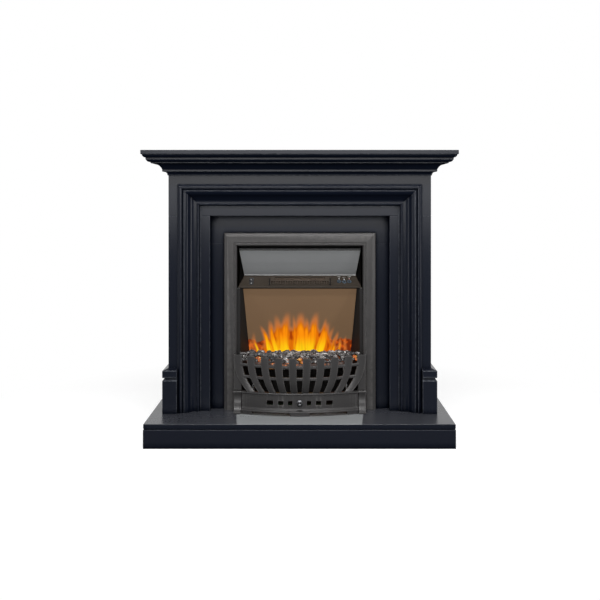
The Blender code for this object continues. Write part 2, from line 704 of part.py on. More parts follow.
def make_plinths():
    shoulder = PLINTH_HEIGHT - PLINTH_CHAMFER
    neck_out = PLINTH_PROUD - PLINTH_NECK_SET_IN
    cap_foot = PLINTH_HEIGHT + PLINTH_NECK
    plinth = [
        (FIT, 0), (PLINTH_PROUD, 0), (PLINTH_PROUD, shoulder), (PLINTH_PROUD - PLINTH_CHAMFER, PLINTH_HEIGHT),
        (neck_out, PLINTH_HEIGHT), (neck_out, cap_foot - FIT), (FIT, cap_foot - FIT),
    ]
    nose = CAP_HEIGHT * 0.16
    cap = [(FIT, cap_foot), (PLINTH_PROUD - nose, cap_foot)]
    cap += arc(cap[-1], (PLINTH_PROUD, cap_foot + nose), -nose * 0.3, steps=3)
    cap += [(PLINTH_PROUD, cap_foot + CAP_HEIGHT - nose / 2), (PLINTH_PROUD - nose / 2, cap_foot + CAP_HEIGHT)]
    cap += [(FIT, cap_foot + CAP_HEIGHT + CAP_SLOPE)]
    inner = FRAME_HALF + FIT
    for name, side in SIDES:
        route = [(side * inner, FACE, FLOOR), (side * HALF, FACE, FLOOR), (side * HALF, WALL, FLOOR)]
        if side < 0:
            route.reverse()
        moulding("plinth_" + name, "lacquer", plinth, route, (0, 0, 1))
        moulding("plinth_cap_" + name, "lacquer", cap, route, (0, 0, 1))


def make_wall_brackets():
    """An angle of sheet steel inside each side panel, screwed to it and to the wall."""
    inner = HALF - BOARD - FIT
    foot = SHELF_UNDER - BRACKET_DROP
    middle = foot + BRACKET_HEIGHT / 2
    for name, side in SIDES:
        angle = block(
            "wall_bracket_" + name, "galvanised",
            (side * inner, WALL - BRACKET_FLANGE, foot), (side * (inner - BRACKET_SHEET), WALL, foot + BRACKET_HEIGHT),
        )
        flange = block(
            "bracket_flange_" + name, None,
            (side * (inner - BRACKET_SHEET / 2), WALL - BRACKET_SHEET, foot),
            (side * (inner - BRACKET_FLANGE), WALL, foot + BRACKET_HEIGHT),
        )
        hole = block(
            "bracket_hole_" + name, None,
            (side * (inner - BRACKET_FLANGE / 2) - BRACKET_HOLE_RADIUS, WALL - BRACKET_FLANGE / 2, middle - BRACKET_HOLE_RADIUS),
            (side * (inner - BRACKET_FLANGE / 2) + BRACKET_HOLE_RADIUS, WALL + BRACKET_SHEET, middle + BRACKET_HOLE_RADIUS),
        )
        join(angle, flange)
        cut(angle, hole)


def make_trim():
    flat_end = TRIM_FACE - TRIM_BEAD - TRIM_GROOVE
    groove_floor = TRIM_DEPTH - TRIM_GROOVE_DEPTH
    bead_start = flat_end + TRIM_GROOVE
    outline = [(0, 0), (0, TRIM_EDGE), (TRIM_BEVEL, TRIM_DEPTH), (flat_end, TRIM_DEPTH)]
    outline += [(flat_end, groove_floor), (bead_start, groove_floor), (bead_start, TRIM_DEPTH - TRIM_BEAD / 4)]
    outline += arc(outline[-1], (TRIM_FACE, TRIM_DEPTH - TRIM_BEAD / 2), TRIM_BEAD * 0.25)
    outline += [(TRIM_FACE, 0)]
    half, plane, top = TRIM_WIDTH / 2, BACK - FIT, FLOOR + TRIM_HEIGHT
    moulding(
        "trim_frame", "cast", outline,
        [(-half, plane, FLOOR), (-half, plane, top), (half, plane, top), (half, plane, FLOOR)], (0, -1, 0), smooth=True,
    )


def make_casing():
    half = CASING_WIDTH / 2
    front, rear = BACK + FIT, BACK + FIT + CASING_DEPTH
    casing = block("casing", "casing_steel", (-half, front, FLOOR), (half, rear, FLOOR + CASING_HEIGHT))
    hollow = block(
        "casing_hollow", None,
        (-half + SHEET, front - SHEET, FLOOR + SHEET), (half - SHEET, rear - SHEET, FLOOR + CASING_HEIGHT - SHEET),
    )
    gland_bore = rod(
        "gland_bore", None, GLAND_RADIUS + RUNNING, -SHEET, SHEET, (GLAND_X, 0), axis="Z", steps=ROUND_STEPS
    )
    gland_bore.matrix_world = Matrix.Translation((0, rear - SHEET / 2, FLOOR + GLAND_HEIGHT)) @ Matrix.Rotation(
        math.pi / 2, 4, "X"
    )
    cut(casing, hollow, gland_bore)
    make_gland(rear)


def make_gland(rear):
    """Threaded cable gland through the back of the casing, with its nut outside."""
    inside = SHEET + FIT + GLAND_FLANGE / 2
    outside = GLAND_FLANGE
    bore = GLAND_RADIUS * 0.45
    profile = [
        (bore, outside), (GLAND_RADIUS * 0.8, outside), (GLAND_FLANGE, outside * 0.7), (GLAND_FLANGE, FIT),
        (GLAND_RADIUS, FIT), (GLAND_RADIUS, -SHEET - FIT), (GLAND_FLANGE, -SHEET - FIT), (GLAND_FLANGE, -inside),
        (bore, -inside), (bore, outside),
    ]
    place = Matrix.Translation((GLAND_X, rear, FLOOR + GLAND_HEIGHT)) @ Matrix.Rotation(-math.pi / 2, 4, "X")
    turned("cable_gland", "plastic", profile, place, steps=16)


def turned(name, finish, profile, place, steps=ROUND_STEPS):
    """Turns a profile of (radius, height) points, running down its outer side, about Z."""
    bm = bmesh.new()
    verts = [bm.verts.new((radius, 0, height)) for radius, height in profile]
    for upper, lower in zip(verts, verts[1:]):
        bm.edges.new((upper, lower))
    bmesh.ops.remove_doubles(bm, verts=bm.verts, dist=1e-7)
    piece = solid_open(name, finish, bm, smooth=False)
    piece.matrix_world = place
    screw = piece.modifiers.new("turn", "SCREW")
    screw.steps = steps
    screw.render_steps = steps
    screw.use_merge_vertices = True
    screw.merge_threshold = 0.00001
    screw.use_smooth_shade = True
    return piece


def make_hood():
    top_half, bottom_half = HOOD_TOP_WIDTH / 2, HOOD_BOTTOM_WIDTH / 2
    rear = HOOD_FRONT + HOOD_LEAN
    rows = [
        [(-bottom_half, rear + HOOD_HEM, HOOD_BOTTOM), (bottom_half, rear + HOOD_HEM, HOOD_BOTTOM)],
        [(-bottom_half, rear, HOOD_BOTTOM), (bottom_half, rear, HOOD_BOTTOM)],
        [(-top_half, HOOD_FRONT, HOOD_TOP), (top_half, HOOD_FRONT, HOOD_TOP)],
        [(-top_half, HOOD_FRONT, TRIM_INNER_TOP - FIT), (top_half, HOOD_FRONT, TRIM_INNER_TOP - FIT)],
    ]
    sheet("hood_plate", "hood_steel", rows, SHEET)


def strip_place():
    """The slope of the control strip: its Y runs up the slope from the lower edge, its Z stands out of it."""
    return Matrix.Translation((0, HOOD_FRONT, STRIP_FOOT)) @ Matrix.Rotation(STRIP_SLOPE, 4, "X")


def buttons():
    """Name, X and distance up the slope of each button."""
    places = []
    for index in range(3):
        drop = MIDDLE_BUTTON_DROP if index == 1 else 0.0
        places.append((f"button_{index + 1}", BUTTONS_X + (index - 1) * BUTTON_PITCH, CONTROLS_START - drop))
    return places


def make_control_strip():
    slope = strip_place()
    bottom_half, top_half = STRIP_BOTTOM_WIDTH / 2, HOOD_BOTTOM_WIDTH / 2
    lip = (-math.sin(STRIP_SLOPE) * STRIP_LIP, -math.cos(STRIP_SLOPE) * STRIP_LIP)
    top = STRIP_LENGTH - FIT
    rows = [
        [(-bottom_half, *lip), (bottom_half, *lip)],
        [(-bottom_half, 0, 0), (bottom_half, 0, 0)],
        [(-top_half, top, 0), (top_half, top, 0)],
    ]
    strip = sheet("control_strip", "strip", rows, SHEET)
    strip.matrix_world = slope
    deep = SHEET * 3
    openings = [("grille", 0.0, GRILLE_WIDTH / 2, GRILLE_START, GRILLE_START + GRILLE_HEIGHT)]
    rocker_reach = ROCKER_LENGTH / 2 + RUNNING
    openings.append(
        ("rocker", ROCKER_X, ROCKER_WIDTH / 2 + RUNNING, CONTROLS_START + FIT - rocker_reach, CONTROLS_START + rocker_reach)
    )
    for name, x, half, start, end in openings:
        hole = block(name + "_opening", None, (x - half, start, -deep), (x + half, end, deep))
        hole.matrix_world = slope
        cut(strip, hole)
    for name, x, up in buttons():
        hole = rod(name + "_opening", None, BUTTON_RADIUS + RUNNING, -deep, deep, (x, up), axis="Z")
        hole.matrix_world = slope
        cut(strip, hole)
    make_grille(slope)
    make_rocker(slope)
    make_buttons(slope)


def make_grille(slope):
    """Outlet grille: a frame with a window over two rows of square holes."""
    half = GRILLE_WIDTH / 2 - FIT
    start, end = GRILLE_START + FIT, GRILLE_START + GRILLE_HEIGHT - FIT
    grille = block("outlet_grille", "plastic", (-half, start, -SHEET), (half, end, SHEET / 2))
    grille.matrix_world = slope
    count = int((GRILLE_WIDTH - 2 * GRILLE_FRAME) // GRILLE_PITCH)
    bm = bmesh.new()
    for row in range(2):
        up = start + GRILLE_FRAME + GRILLE_HOLE_HEIGHT / 2 + row * GRILLE_ROW_PITCH
        for index in range(count):
            hole = bmesh.ops.create_cube(bm, size=1.0)["verts"]
            bmesh.ops.scale(bm, vec=(GRILLE_HOLE_WIDTH, GRILLE_HOLE_HEIGHT, SHEET * 4), verts=hole)
            x = (index - (count - 1) / 2) * GRILLE_PITCH
            bmesh.ops.translate(bm, vec=(x, up, 0), verts=hole)
    holes = solid("grille_holes", None, bm)
    holes.matrix_world = slope
    window_end = end - GRILLE_FRAME
    window = block(
        "grille_window", None,
        (-GRILLE_WINDOW_WIDTH / 2, window_end - GRILLE_WINDOW_HEIGHT, -SHEET * 2),
        (GRILLE_WINDOW_WIDTH / 2, window_end, SHEET * 2),
    )
    window.matrix_world = slope
    cut(grille, holes, window)


def make_rocker(slope):
    """A rocker with two shallow faces, resting on its lower half. Its origin is on its pin."""
    half, crest, depth = ROCKER_LENGTH / 2, ROCKER_DEPTH * 0.22, ROCKER_DEPTH / 2
    outline = [(-half * 0.92, -depth), (-half, crest), (0, crest * 0.25), (half, crest), (half * 0.92, -depth)]
    rocker = prism("power_rocker", "rocker", outline, -ROCKER_WIDTH / 2, ROCKER_WIDTH / 2)
    pin = Matrix.Translation((ROCKER_X, CONTROLS_START, 0)) @ Matrix.Rotation(ROCKER_TILT, 4, "X")
    rocker.matrix_world = slope @ pin


def make_buttons(slope):
    base = BUTTON_PROUD - BUTTON_LENGTH
    dome = BUTTON_PROUD * 0.35
    profile = [(0, BUTTON_PROUD), (BUTTON_RADIUS * 0.75, BUTTON_PROUD), (BUTTON_RADIUS, BUTTON_PROUD - dome)]
    profile += [(BUTTON_RADIUS, base), (0, base)]
    for name, x, up in buttons():
        turned(name, "button", profile, slope @ Matrix.Translation((x, up, 0)), steps=16)
    board_top = base - BUTTON_TRAVEL - FIT
    low = CONTROLS_START - BOARD_PCB_LENGTH / 2 + BUTTON_RADIUS / 2
    high = low + BOARD_PCB_LENGTH
    half = BOARD_PCB_WIDTH / 2
    board = block(
        "control_board", "circuit",
        (BUTTONS_X - half, low, board_top - BOARD_PCB), (BUTTONS_X + half, high, board_top),
    )
    board.matrix_world = slope
    inset = PCB_POST_RADIUS * 1.4
    for index, (x, up) in enumerate(
        [(side * (half - inset), place) for side in (-1, 1) for place in (low + inset, high - inset)]
    ):
        post = rod(
            f"board_post_{index}", None, PCB_POST_RADIUS, board_top - BOARD_PCB / 2, -SHEET - FIT,
            (BUTTONS_X + x, up), axis="Z", steps=8,
        )
        post.matrix_world = slope
        join(board, post)


def blower_outline(wall):
    """Side view of the blower, inset by wall. Its mouth lies against the back of the control strip."""
    slope = strip_place()
    reach = -SHEET - FIT + (2 * SHEET if wall else 0.0)
    mouth_foot = slope @ Vector((0, GRILLE_START + wall, reach))
    mouth_head = slope @ Vector((0, GRILLE_START + GRILLE_HEIGHT - wall, reach))
    back = CASING_INSIDE - BLOWER_BACK_CLEAR - wall
    front = HOOD_FRONT + HOOD_LEAN + BLOWER_HEIGHT * 0.3
    middle = (mouth_head.z + mouth_foot.z) / 2
    top, foot = middle + BLOWER_HEIGHT * 0.38 - wall, middle - BLOWER_HEIGHT * 0.62 + wall
    corner = BLOWER_HEIGHT * 0.22
    behind_hood = HOOD_FRONT + HOOD_LEAN + HOOD_HEM + BEHIND_CLEAR
    return [
        (mouth_foot.y, mouth_foot.z), (front, foot), (back - corner, foot), (back, foot + corner),
        (back, top - corner), (back - corner, top), (front, top), (behind_hood, mouth_head.z),
        (mouth_head.y, mouth_head.z),
    ]


def wheel_centre():
    outline = blower_outline(0.0)
    back, foot, top = outline[3][0], outline[1][1], outline[5][1]
    return back - WHEEL_RADIUS - BLOWER_HEIGHT * 0.15, (foot + top) / 2


def make_fan_heater():
    half = BLOWER_WIDTH / 2
    inner = half - SHEET
    centre = wheel_centre()
    housing = prism("blower_housing", "galvanised", blower_outline(0.0), -half, half)
    hollow = prism("blower_hollow", None, blower_outline(SHEET), -inner, inner)
    shaft_hole = rod("blower_shaft_hole", None, SHAFT_RADIUS + RUNNING, -half - SHEET, half + SHEET, centre)
    cut(housing, hollow, shaft_hole)
    wheel = wheel_outline(centre)
    reach = WHEEL_LENGTH / 2
    fan = prism("fan_wheel", "plastic", wheel, -reach, reach)
    for name, side in SIDES:
        disc = rod(
            "wheel_disc_" + name, None, WHEEL_RADIUS + RUNNING,
            side * (reach - WHEEL_DISC / 2), side * (reach + WHEEL_DISC), centre,
        )
        join(fan, disc)
    join(fan, rod("wheel_shaft", None, SHAFT_RADIUS, -half - WHEEL_DISC, half, centre, steps=12))
    fan.data.transform(Matrix.Translation((0, -centre[0], -centre[1])))
    fan.location = (0, *centre)
    rod("fan_motor", "steel", FAN_MOTOR_RADIUS, half + FIT, half + FIT + FAN_MOTOR_LENGTH, centre)
    make_element(inner)


def wheel_outline(centre):
    root, tip = WHEEL_RADIUS * 0.45, WHEEL_RADIUS
    pitch = 2 * math.pi / WHEEL_BLADES
    outline = []
    for blade in range(WHEEL_BLADES):
        angle = blade * pitch
        for radius, turn in ((root, 0.0), (tip, 0.30), (tip, 0.42), (root, 0.22)):
            at = angle + turn * pitch
            outline.append((centre[0] + radius * math.cos(at), centre[1] + radius * math.sin(at)))
    return outline


def make_element(inner):
    """Finned heating element across the duct, between the wheel and the grille."""
    outline = blower_outline(0.0)
    duct_y = (outline[1][0] + outline[7][0]) / 2
    duct_z = (outline[0][1] + outline[8][1]) / 2
    low = duct_z - ELEMENT_HEIGHT / 2
    high = duct_z + ELEMENT_HEIGHT / 2
    length = 2 * (inner - FIT)
    pitch = length / ELEMENT_FINS
    web = ELEMENT_DEPTH * 0.3
    comb = [(duct_y, -inner + FIT)]
    for fin in range(ELEMENT_FINS):
        start = -inner + FIT + fin * pitch
        comb += [(duct_y + ELEMENT_DEPTH, start), (duct_y + ELEMENT_DEPTH, start + pitch * 0.4)]
        comb += [(duct_y + web, start + pitch * 0.4), (duct_y + web, start + pitch)]
    comb += [(duct_y, inner - FIT)]
    # The comb is drawn lying down, as (depth, width) points, and stood up so that its fins are upright
    stand = Matrix.Rotation(-math.pi / 2, 4, "Y")
    prism("heating_element", "element", [(y, -x) for y, x in comb], low, high, place=stand)


def screen_y(height):
    """Front of the leaning screen at a height."""
    share = (SCREEN_TOP - height) / (SCREEN_TOP - SCREEN_BOTTOM)
    return SCREEN_TOP_Y + (SCREEN_BOTTOM_Y - SCREEN_TOP_Y) * share


def screen_half(height):
    share = (SCREEN_TOP - height) / (SCREEN_TOP - SCREEN_BOTTOM)
    return (SCREEN_TOP_WIDTH + (SCREEN_BOTTOM_WIDTH - SCREEN_TOP_WIDTH) * share) / 2


def make_screen():
    top_half, bottom_half = screen_half(SCREEN_TOP), screen_half(SCREEN_BOTTOM)
    rows = [
        [(-bottom_half, SCREEN_BOTTOM_Y, SCREEN_BOTTOM), (bottom_half, SCREEN_BOTTOM_Y, SCREEN_BOTTOM)],
        [(-top_half, SCREEN_TOP_Y, SCREEN_TOP), (top_half, SCREEN_TOP_Y, SCREEN_TOP)],
    ]
    sheet("flame_screen", "screen", rows, SCREEN)
    make_cheeks()


def make_cheeks():
    """A flange against the trim and a panel that runs back to the edge of the screen and on to the casing."""
    outer = TRIM_INNER_HALF - FIT
    flange_y = TRIM_FRONT + CHEEK_FLANGE_SET_IN
    inner = outer - CHEEK_FLANGE
    foot = FLOOR + SHEET + FIT
    for name, side in SIDES:
        rows = []
        for height in (foot, SCREEN_BOTTOM, SCREEN_TOP):
            seat = max(height, SCREEN_BOTTOM)
            edge = screen_half(seat) + RUNNING
            rows.append([
                (side * outer, flange_y, height), (side * inner, flange_y, height),
                (side * edge, screen_y(seat) + SCREEN, height),
            ])
        if side > 0:
            rows.reverse()
        sheet("cheek_" + name, "casing_steel", rows, SHEET)


def fret_point(place, share):
    """Front of the fret, place bars from the middle and share of the way down its bars."""
    ease = share**FRET_BAR_CURVE
    top_half = (FRET_BARS - 1) / 2 * FRET_TOP_PITCH
    top_x = place * FRET_TOP_PITCH
    bottom_x = place * FRET_BOTTOM_PITCH
    top_y = FRET_FRONT - bow(top_x, top_half, FRET_TOP_BOW)
    bottom_y = FRET_FRONT - bow(bottom_x, FRET_HALF_WIDTH, LEDGE_BOW) + FRET_WALL / 2
    z = FRET_TOP - share * (FRET_TOP - LEDGE_TOP + LEDGE_HEIGHT / 2)
    return Vector((top_x + (bottom_x - top_x) * ease, top_y + (bottom_y - top_y) * ease, z))


def fret_bar(name, place):
    """One curved bar, drawn from its foot up."""
    rows = []
    for step in range(8, -1, -1):
        share = step / 8
        middle = fret_point(place, share)
        along = (fret_point(place + BAR_SIGHT, share) - fret_point(place - BAR_SIGHT, share)).normalized()
        width = FRET_BAR_TOP_WIDTH + (FRET_BAR_BOTTOM_WIDTH - FRET_BAR_TOP_WIDTH) * share
        rows.append([middle - along * width / 2, middle + along * width / 2])
    return sheet(name, None, rows, FRET_WALL)


def fret_rail(name, drop):
    """A rail behind the bars. It is sunk into their backs, where the casting is one."""
    share = drop / (FRET_TOP - LEDGE_TOP + LEDGE_HEIGHT / 2)
    reach = (FRET_BARS - 1) / 2
    count = (FRET_BARS - 1) * 2
    rows = []
    for height in (-FRET_RAIL / 2, FRET_RAIL / 2):
        row = []
        for step in range(count + 1):
            point = fret_point(-reach + 2 * reach * step / count, share)
            row.append(point + Vector((0, FRET_WALL * 0.7, height)))
        rows.append(row)
    return sheet(name, None, rows, FRET_WALL)


def make_fret():
    """Bowed casting: two stiles on the legs, curved bars, two rails behind them and a ledge at the foot."""
    foot = LEDGE_TOP - LEDGE_HEIGHT
    count = 16
    ledge_half = FRET_HALF_WIDTH - LEG_WIDTH - LEG_CAPITAL_PROUD - FIT
    route = []
    for step in range(count + 1):
        x = ledge_half * (2 * step / count - 1)
        route.append((x, FRET_FRONT - bow(x, FRET_HALF_WIDTH, LEDGE_BOW), foot))
    nose = LEDGE_HEIGHT / 2
    outline = [(-LEDGE_DEPTH, 0), (nose / 2, 0)]
    outline += arc(outline[-1], (nose / 2, LEDGE_HEIGHT), -nose, steps=4)
    outline += [(-LEDGE_DEPTH, LEDGE_HEIGHT)]
    fret = moulding("fret", "cast", outline, route, (0, 0, 1), smooth=False)
    seat = FRET_FRONT + FRET_WALL
    for name, side in SIDES:
        outer, inner = side * FRET_HALF_WIDTH, side * (FRET_HALF_WIDTH - FRET_STILE)
        head = FRET_FOOT + FRET_STILE_HEIGHT
        stile = block("stile_" + name, None, (outer, FRET_FRONT, FRET_FOOT), (inner, seat, head))
        wall = block(
            "stile_wall_" + name, None,
            (outer, FRET_FRONT + FRET_WALL / 2, FRET_FOOT), (outer - side * FRET_WALL, TRIM_FRONT - FIT, head),
        )
        join(fret, stile, wall)
    bars = [fret_bar(f"fret_bar_{index}", index - (FRET_BARS - 1) / 2) for index in range(FRET_BARS)]
    rails = [fret_rail(f"fret_rail_{index}", drop) for index, drop in enumerate(FRET_RAIL_DROPS)]
    join(fret, *rails, *bars)


def make_legs():
    """Console legs with small capitals, kicked forward at the foot."""
    back = TRIM_FRONT - FIT
    front = FRET_FRONT
    head = FLOOR + LEG_HEIGHT
    neck = head - LEG_CAPITAL
    toe = front - LEG_KICK
    outline = [(back, FLOOR), (toe, FLOOR), (toe, FLOOR + LEG_KICK * 0.3)]
    outline += arc(outline[-1], (front + LEG_CAPITAL_PROUD, neck), -LEG_KICK * 0.45, steps=8)
    outline += [(back, neck)]
    outer = FRET_HALF_WIDTH
    for name, side in SIDES:
        leg = prism("leg_" + name, "cast", outline, side * outer, side * (outer - LEG_WIDTH), smooth=True)
        capital = block(
            "capital_" + name, None,
            (side * (outer + LEG_CAPITAL_PROUD), front - LEG_CAPITAL_PROUD, neck - FIT),
            (side * (outer - LEG_WIDTH - LEG_CAPITAL_PROUD), back, head),
        )
        join(leg, capital)


def make_ash_cover():
    """Bowed cover under the ledge, with a foot moulding, six vents and a knob."""
    half = FRET_HALF_WIDTH - LEG_WIDTH - LEG_CAPITAL_PROUD - ASH_SIDE_CLEAR
    top = LEDGE_TOP - LEDGE_HEIGHT - FIT
    count = 14
    route = []
    for step in range(count + 1):
        x = half * (2 * step / count - 1)
        route.append((x, FRET_FRONT - bow(x, FRET_HALF_WIDTH, LEDGE_BOW), FLOOR))
    moulding_top = ASH_FOOT_HEIGHT + ASH_MOULDING_HEIGHT
    height = top - FLOOR
    outline = [(-ASH_PANEL, 0), (ASH_MOULDING_PROUD / 2, 0), (ASH_MOULDING_PROUD / 2, ASH_FOOT_HEIGHT)]
    outline += [(ASH_MOULDING_PROUD, ASH_FOOT_HEIGHT + FIT)]
    outline += arc(outline[-1], (0, moulding_top), -ASH_MOULDING_PROUD * 0.2, steps=4)
    outline += [(0, height), (-ASH_PANEL, height)]
    cover = moulding("ash_cover", "cast", outline, route, (0, 0, 1))
    deep = LEDGE_BOW + ASH_PANEL * 3
    plane = FRET_FRONT
    gaps_end = half - ASH_FOOT_WIDTH
    for name, side in SIDES:
        gap = block(
            "foot_gap_" + name, None,
            (side * ASH_CENTRE_FOOT_WIDTH / 2, plane - deep, FLOOR - FIT * 4),
            (side * gaps_end, plane + deep, FLOOR + ASH_FOOT_HEIGHT),
        )
        cut(cover, gap)
        for index, (x, width, tall) in enumerate(VENTS):
            vent = block(
                f"vent_{name}_{index}", None,
                (side * x - width / 2, plane - deep, FLOOR + VENT_HEIGHT_UP - tall / 2),
                (side * x + width / 2, plane + deep, FLOOR + VENT_HEIGHT_UP + tall / 2),
            )
            cut(cover, vent)
    make_knob(FRET_FRONT - bow(0, FRET_HALF_WIDTH, LEDGE_BOW), FLOOR + VENT_HEIGHT_UP)


def make_knob(face, height):
    """Ball knob on a round backplate, fixed to the ash-pit cover."""
    ball = KNOB_PLATE + KNOB_STEM + KNOB_RADIUS
    stem_radius = KNOB_RADIUS * 0.4
    start = math.asin(stem_radius / KNOB_RADIUS)
    profile = []
    for step in range(9):
        angle = (math.pi - start) * step / 8
        profile.append((KNOB_RADIUS * math.sin(angle), ball + KNOB_RADIUS * math.cos(angle)))
    profile += [(stem_radius, KNOB_PLATE), (KNOB_PLATE_RADIUS * 0.8, KNOB_PLATE), (KNOB_PLATE_RADIUS, KNOB_PLATE / 2)]
    profile += [(KNOB_PLATE_RADIUS, FIT), (0, FIT)]
    sag = KNOB_PLATE_RADIUS**2 / (2 * (FRET_HALF_WIDTH**2 + LEDGE_BOW**2) / (2 * LEDGE_BOW))
    place = Matrix.Translation((0, face - sag * 0.1, height)) @ Matrix.Rotation(math.pi / 2, 4, "X")
    turned("ash_knob", "steel", profile, place)


def bed_front(x):
    """Front of the ember bed, a clearance behind the upper rail of the fret."""
    reach = (FRET_BARS - 1) / 2 * FRET_TOP_PITCH
    return FRET_FRONT - bow(x, reach, FRET_TOP_BOW) + FRET_WALL * 2 + BED_FRONT_CLEAR


def coal_height(x, y, coals):
    best = 0.0
    for centre_x, centre_y, size, rise in coals:
        reach = 1 - ((x - centre_x) ** 2 + (y - centre_y) ** 2) / size**2
        if reach > 0:
            best = max(best, rise * math.sqrt(reach))
    return best


def make_ember_bed():
    """A moulded bed of coals, as a tray whose top is lumpy."""
    half = BED_WIDTH / 2
    foot = FLOOR + BED_HEIGHT
    back = screen_y(foot + BED_TRAY + COAL_RISE) - BEHIND_CLEAR
    dice = random.Random(7)
    coals = []
    columns = int(BED_WIDTH / COAL_SIZE)
    for row in range(COAL_ROWS):
        for column in range(columns + row % 2):
            x = (column - (columns - 1 + row % 2) / 2) * COAL_SIZE
            depth = (row + 0.5) / COAL_ROWS
            y = bed_front(x) + (back - bed_front(x)) * depth + dice.uniform(-0.15, 0.15) * COAL_SIZE
            size = COAL_SIZE * dice.uniform(0.5, 0.68)
            coals.append((x + dice.uniform(-0.12, 0.12) * COAL_SIZE, y, size, COAL_RISE * dice.uniform(0.65, 1.0)))
    bm = bmesh.new()
    grid = bmesh.ops.create_grid(bm, x_segments=BED_COLUMNS, y_segments=BED_ROWS, size=1.0)["verts"]
    grown = bmesh.ops.extrude_face_region(bm, geom=bm.faces[:])
    upper = {item for item in grown["geom"] if isinstance(item, bmesh.types.BMVert)}
    for vert in bm.verts:
        x = vert.co.x * half
        depth = (vert.co.y + 1) / 2
        y = bed_front(x) + (back - bed_front(x)) * depth
        if vert in upper:
            vert.co = (x, y, foot + BED_TRAY + coal_height(x, y, coals))
        else:
            vert.co = (x, y, foot)
    lower_faces = [face for face in bm.faces if all(vert in grid for vert in face.verts)]
    bmesh.ops.dissolve_faces(bm, faces=lower_faces)
    solid("ember_bed", "ember", bm, smooth=True)
    make_bed_support(foot)


def make_bed_support(bed_foot):
    """Bent steel table on the casing's floor that carries the ember bed. Its window lets the lamps shine up."""
    half = SUPPORT_WIDTH / 2
    front = BACK + FIT + SHEET
    back = screen_y(bed_foot) - SPINDLE_RADIUS - BEHIND_CLEAR
    floor = FLOOR + SHEET + FIT
    top = bed_foot - FIT
    table = block("bed_support", "galvanised", (-half, front, floor), (half, back, top))
    under = block(
        "bed_support_under", None,
        (-half + SHEET, front - SHEET, floor - SHEET), (half - SHEET, back + SHEET, top - SHEET),
    )
    middle = (front + back) / 2
    window = block(
        "bed_support_window", None,
        (-SUPPORT_WINDOW_WIDTH / 2, middle - SUPPORT_WINDOW_DEPTH / 2, top - SHEET * 2),
        (SUPPORT_WINDOW_WIDTH / 2, middle + SUPPORT_WINDOW_DEPTH / 2, top + SHEET),
    )
    cut(table, under, window)
    make_lamp_board(middle, floor)


def make_lamp_board(middle, floor):
    half = LAMP_BOARD_WIDTH / 2
    top = floor + BOARD_PCB
    board = block(
        "lamp_board", "circuit",
        (-half, middle - LAMP_BOARD_DEPTH / 2, floor), (half, middle + LAMP_BOARD_DEPTH / 2, top),
    )
    pitch = LAMP_BOARD_WIDTH / LAMP_COUNT
    for index in range(LAMP_COUNT):
        x = (index - (LAMP_COUNT - 1) / 2) * pitch
        join(board, rod(f"lamp_{index}", None, LAMP_RADIUS, top - BOARD_PCB / 2, top + LAMP_RADIUS, (x, middle), axis="Z", steps=10))


def make_flame_effect():
    """A spindle of bright paddles behind the screen, between a bearing and its motor."""
    y = CASING_INSIDE - SPINDLE_BACK_CLEAR - SPINDLE_RADIUS
    z = FLOOR + SPINDLE_HEIGHT
    half = SPINDLE_LENGTH / 2
    spindle = rod("flame_spindle", "steel", SHAFT_RADIUS, -half, half, (0, 0), steps=12)
    span = SPINDLE_LENGTH - 2 * BEARING_LENGTH - 4 * RUNNING
    pitch = span / SPINDLE_PADDLES
    for index in range(SPINDLE_PADDLES):
        start = -span / 2 + index * pitch
        paddle = block(
            f"paddle_{index}", None,
            (start + RUNNING, -SPINDLE_RADIUS, -PADDLE_SHEET / 2), (start + pitch * 0.85, SPINDLE_RADIUS, PADDLE_SHEET / 2),
        )
        paddle.data.transform(Matrix.Rotation(math.radians(40 * index + 11), 4, "X"))
        paddle.parent = spindle
        join(spindle, paddle)
    spindle.location = (0, y, z)
    reach = BEARING_SIZE / 2
    bearing = block(
        "spindle_bearing", "plastic",
        (-half + BEARING_LENGTH, y - reach, z - reach), (-half - RUNNING * 2, CASING_INSIDE - FIT, z + reach),
    )
    bore = rod("bearing_bore", None, SHAFT_RADIUS + RUNNING, -half - RUNNING, -half + BEARING_LENGTH * 2, (y, z), steps=12)
    cut(bearing, bore)
    size = SPINDLE_MOTOR_SIZE / 2
    motor = block(
        "spindle_motor", "galvanised",
        (half - BEARING_LENGTH, y - size, z - size), (half - BEARING_LENGTH + SPINDLE_MOTOR_LENGTH, CASING_INSIDE - FIT, z + size),
    )
    socket = rod("motor_socket", None, SHAFT_RADIUS + RUNNING, half - BEARING_LENGTH * 2, half + RUNNING, (y, z), steps=12)
    cut(motor, socket)


empty_scene()
PARTS = new_collection("electric_fireplace_suite")
GUIDES = new_collection("guides")
make_hearth()
make_mantel()
make_frame()
make_plinths()
make_wall_brackets()
make_trim()
make_casing()
make_hood()
make_control_strip()
make_fan_heater()
make_screen()
make_fret()
make_legs()
make_ash_cover()
make_ember_bed()
make_flame_effect()
bpy.context.view_layer.update()
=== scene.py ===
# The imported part, and the camera at the photograph's place: level, in front of the fire and a little to the
# right of its middle.
import math
import random

import bmesh
import bpy
from mathutils import Matrix, Vector, noise


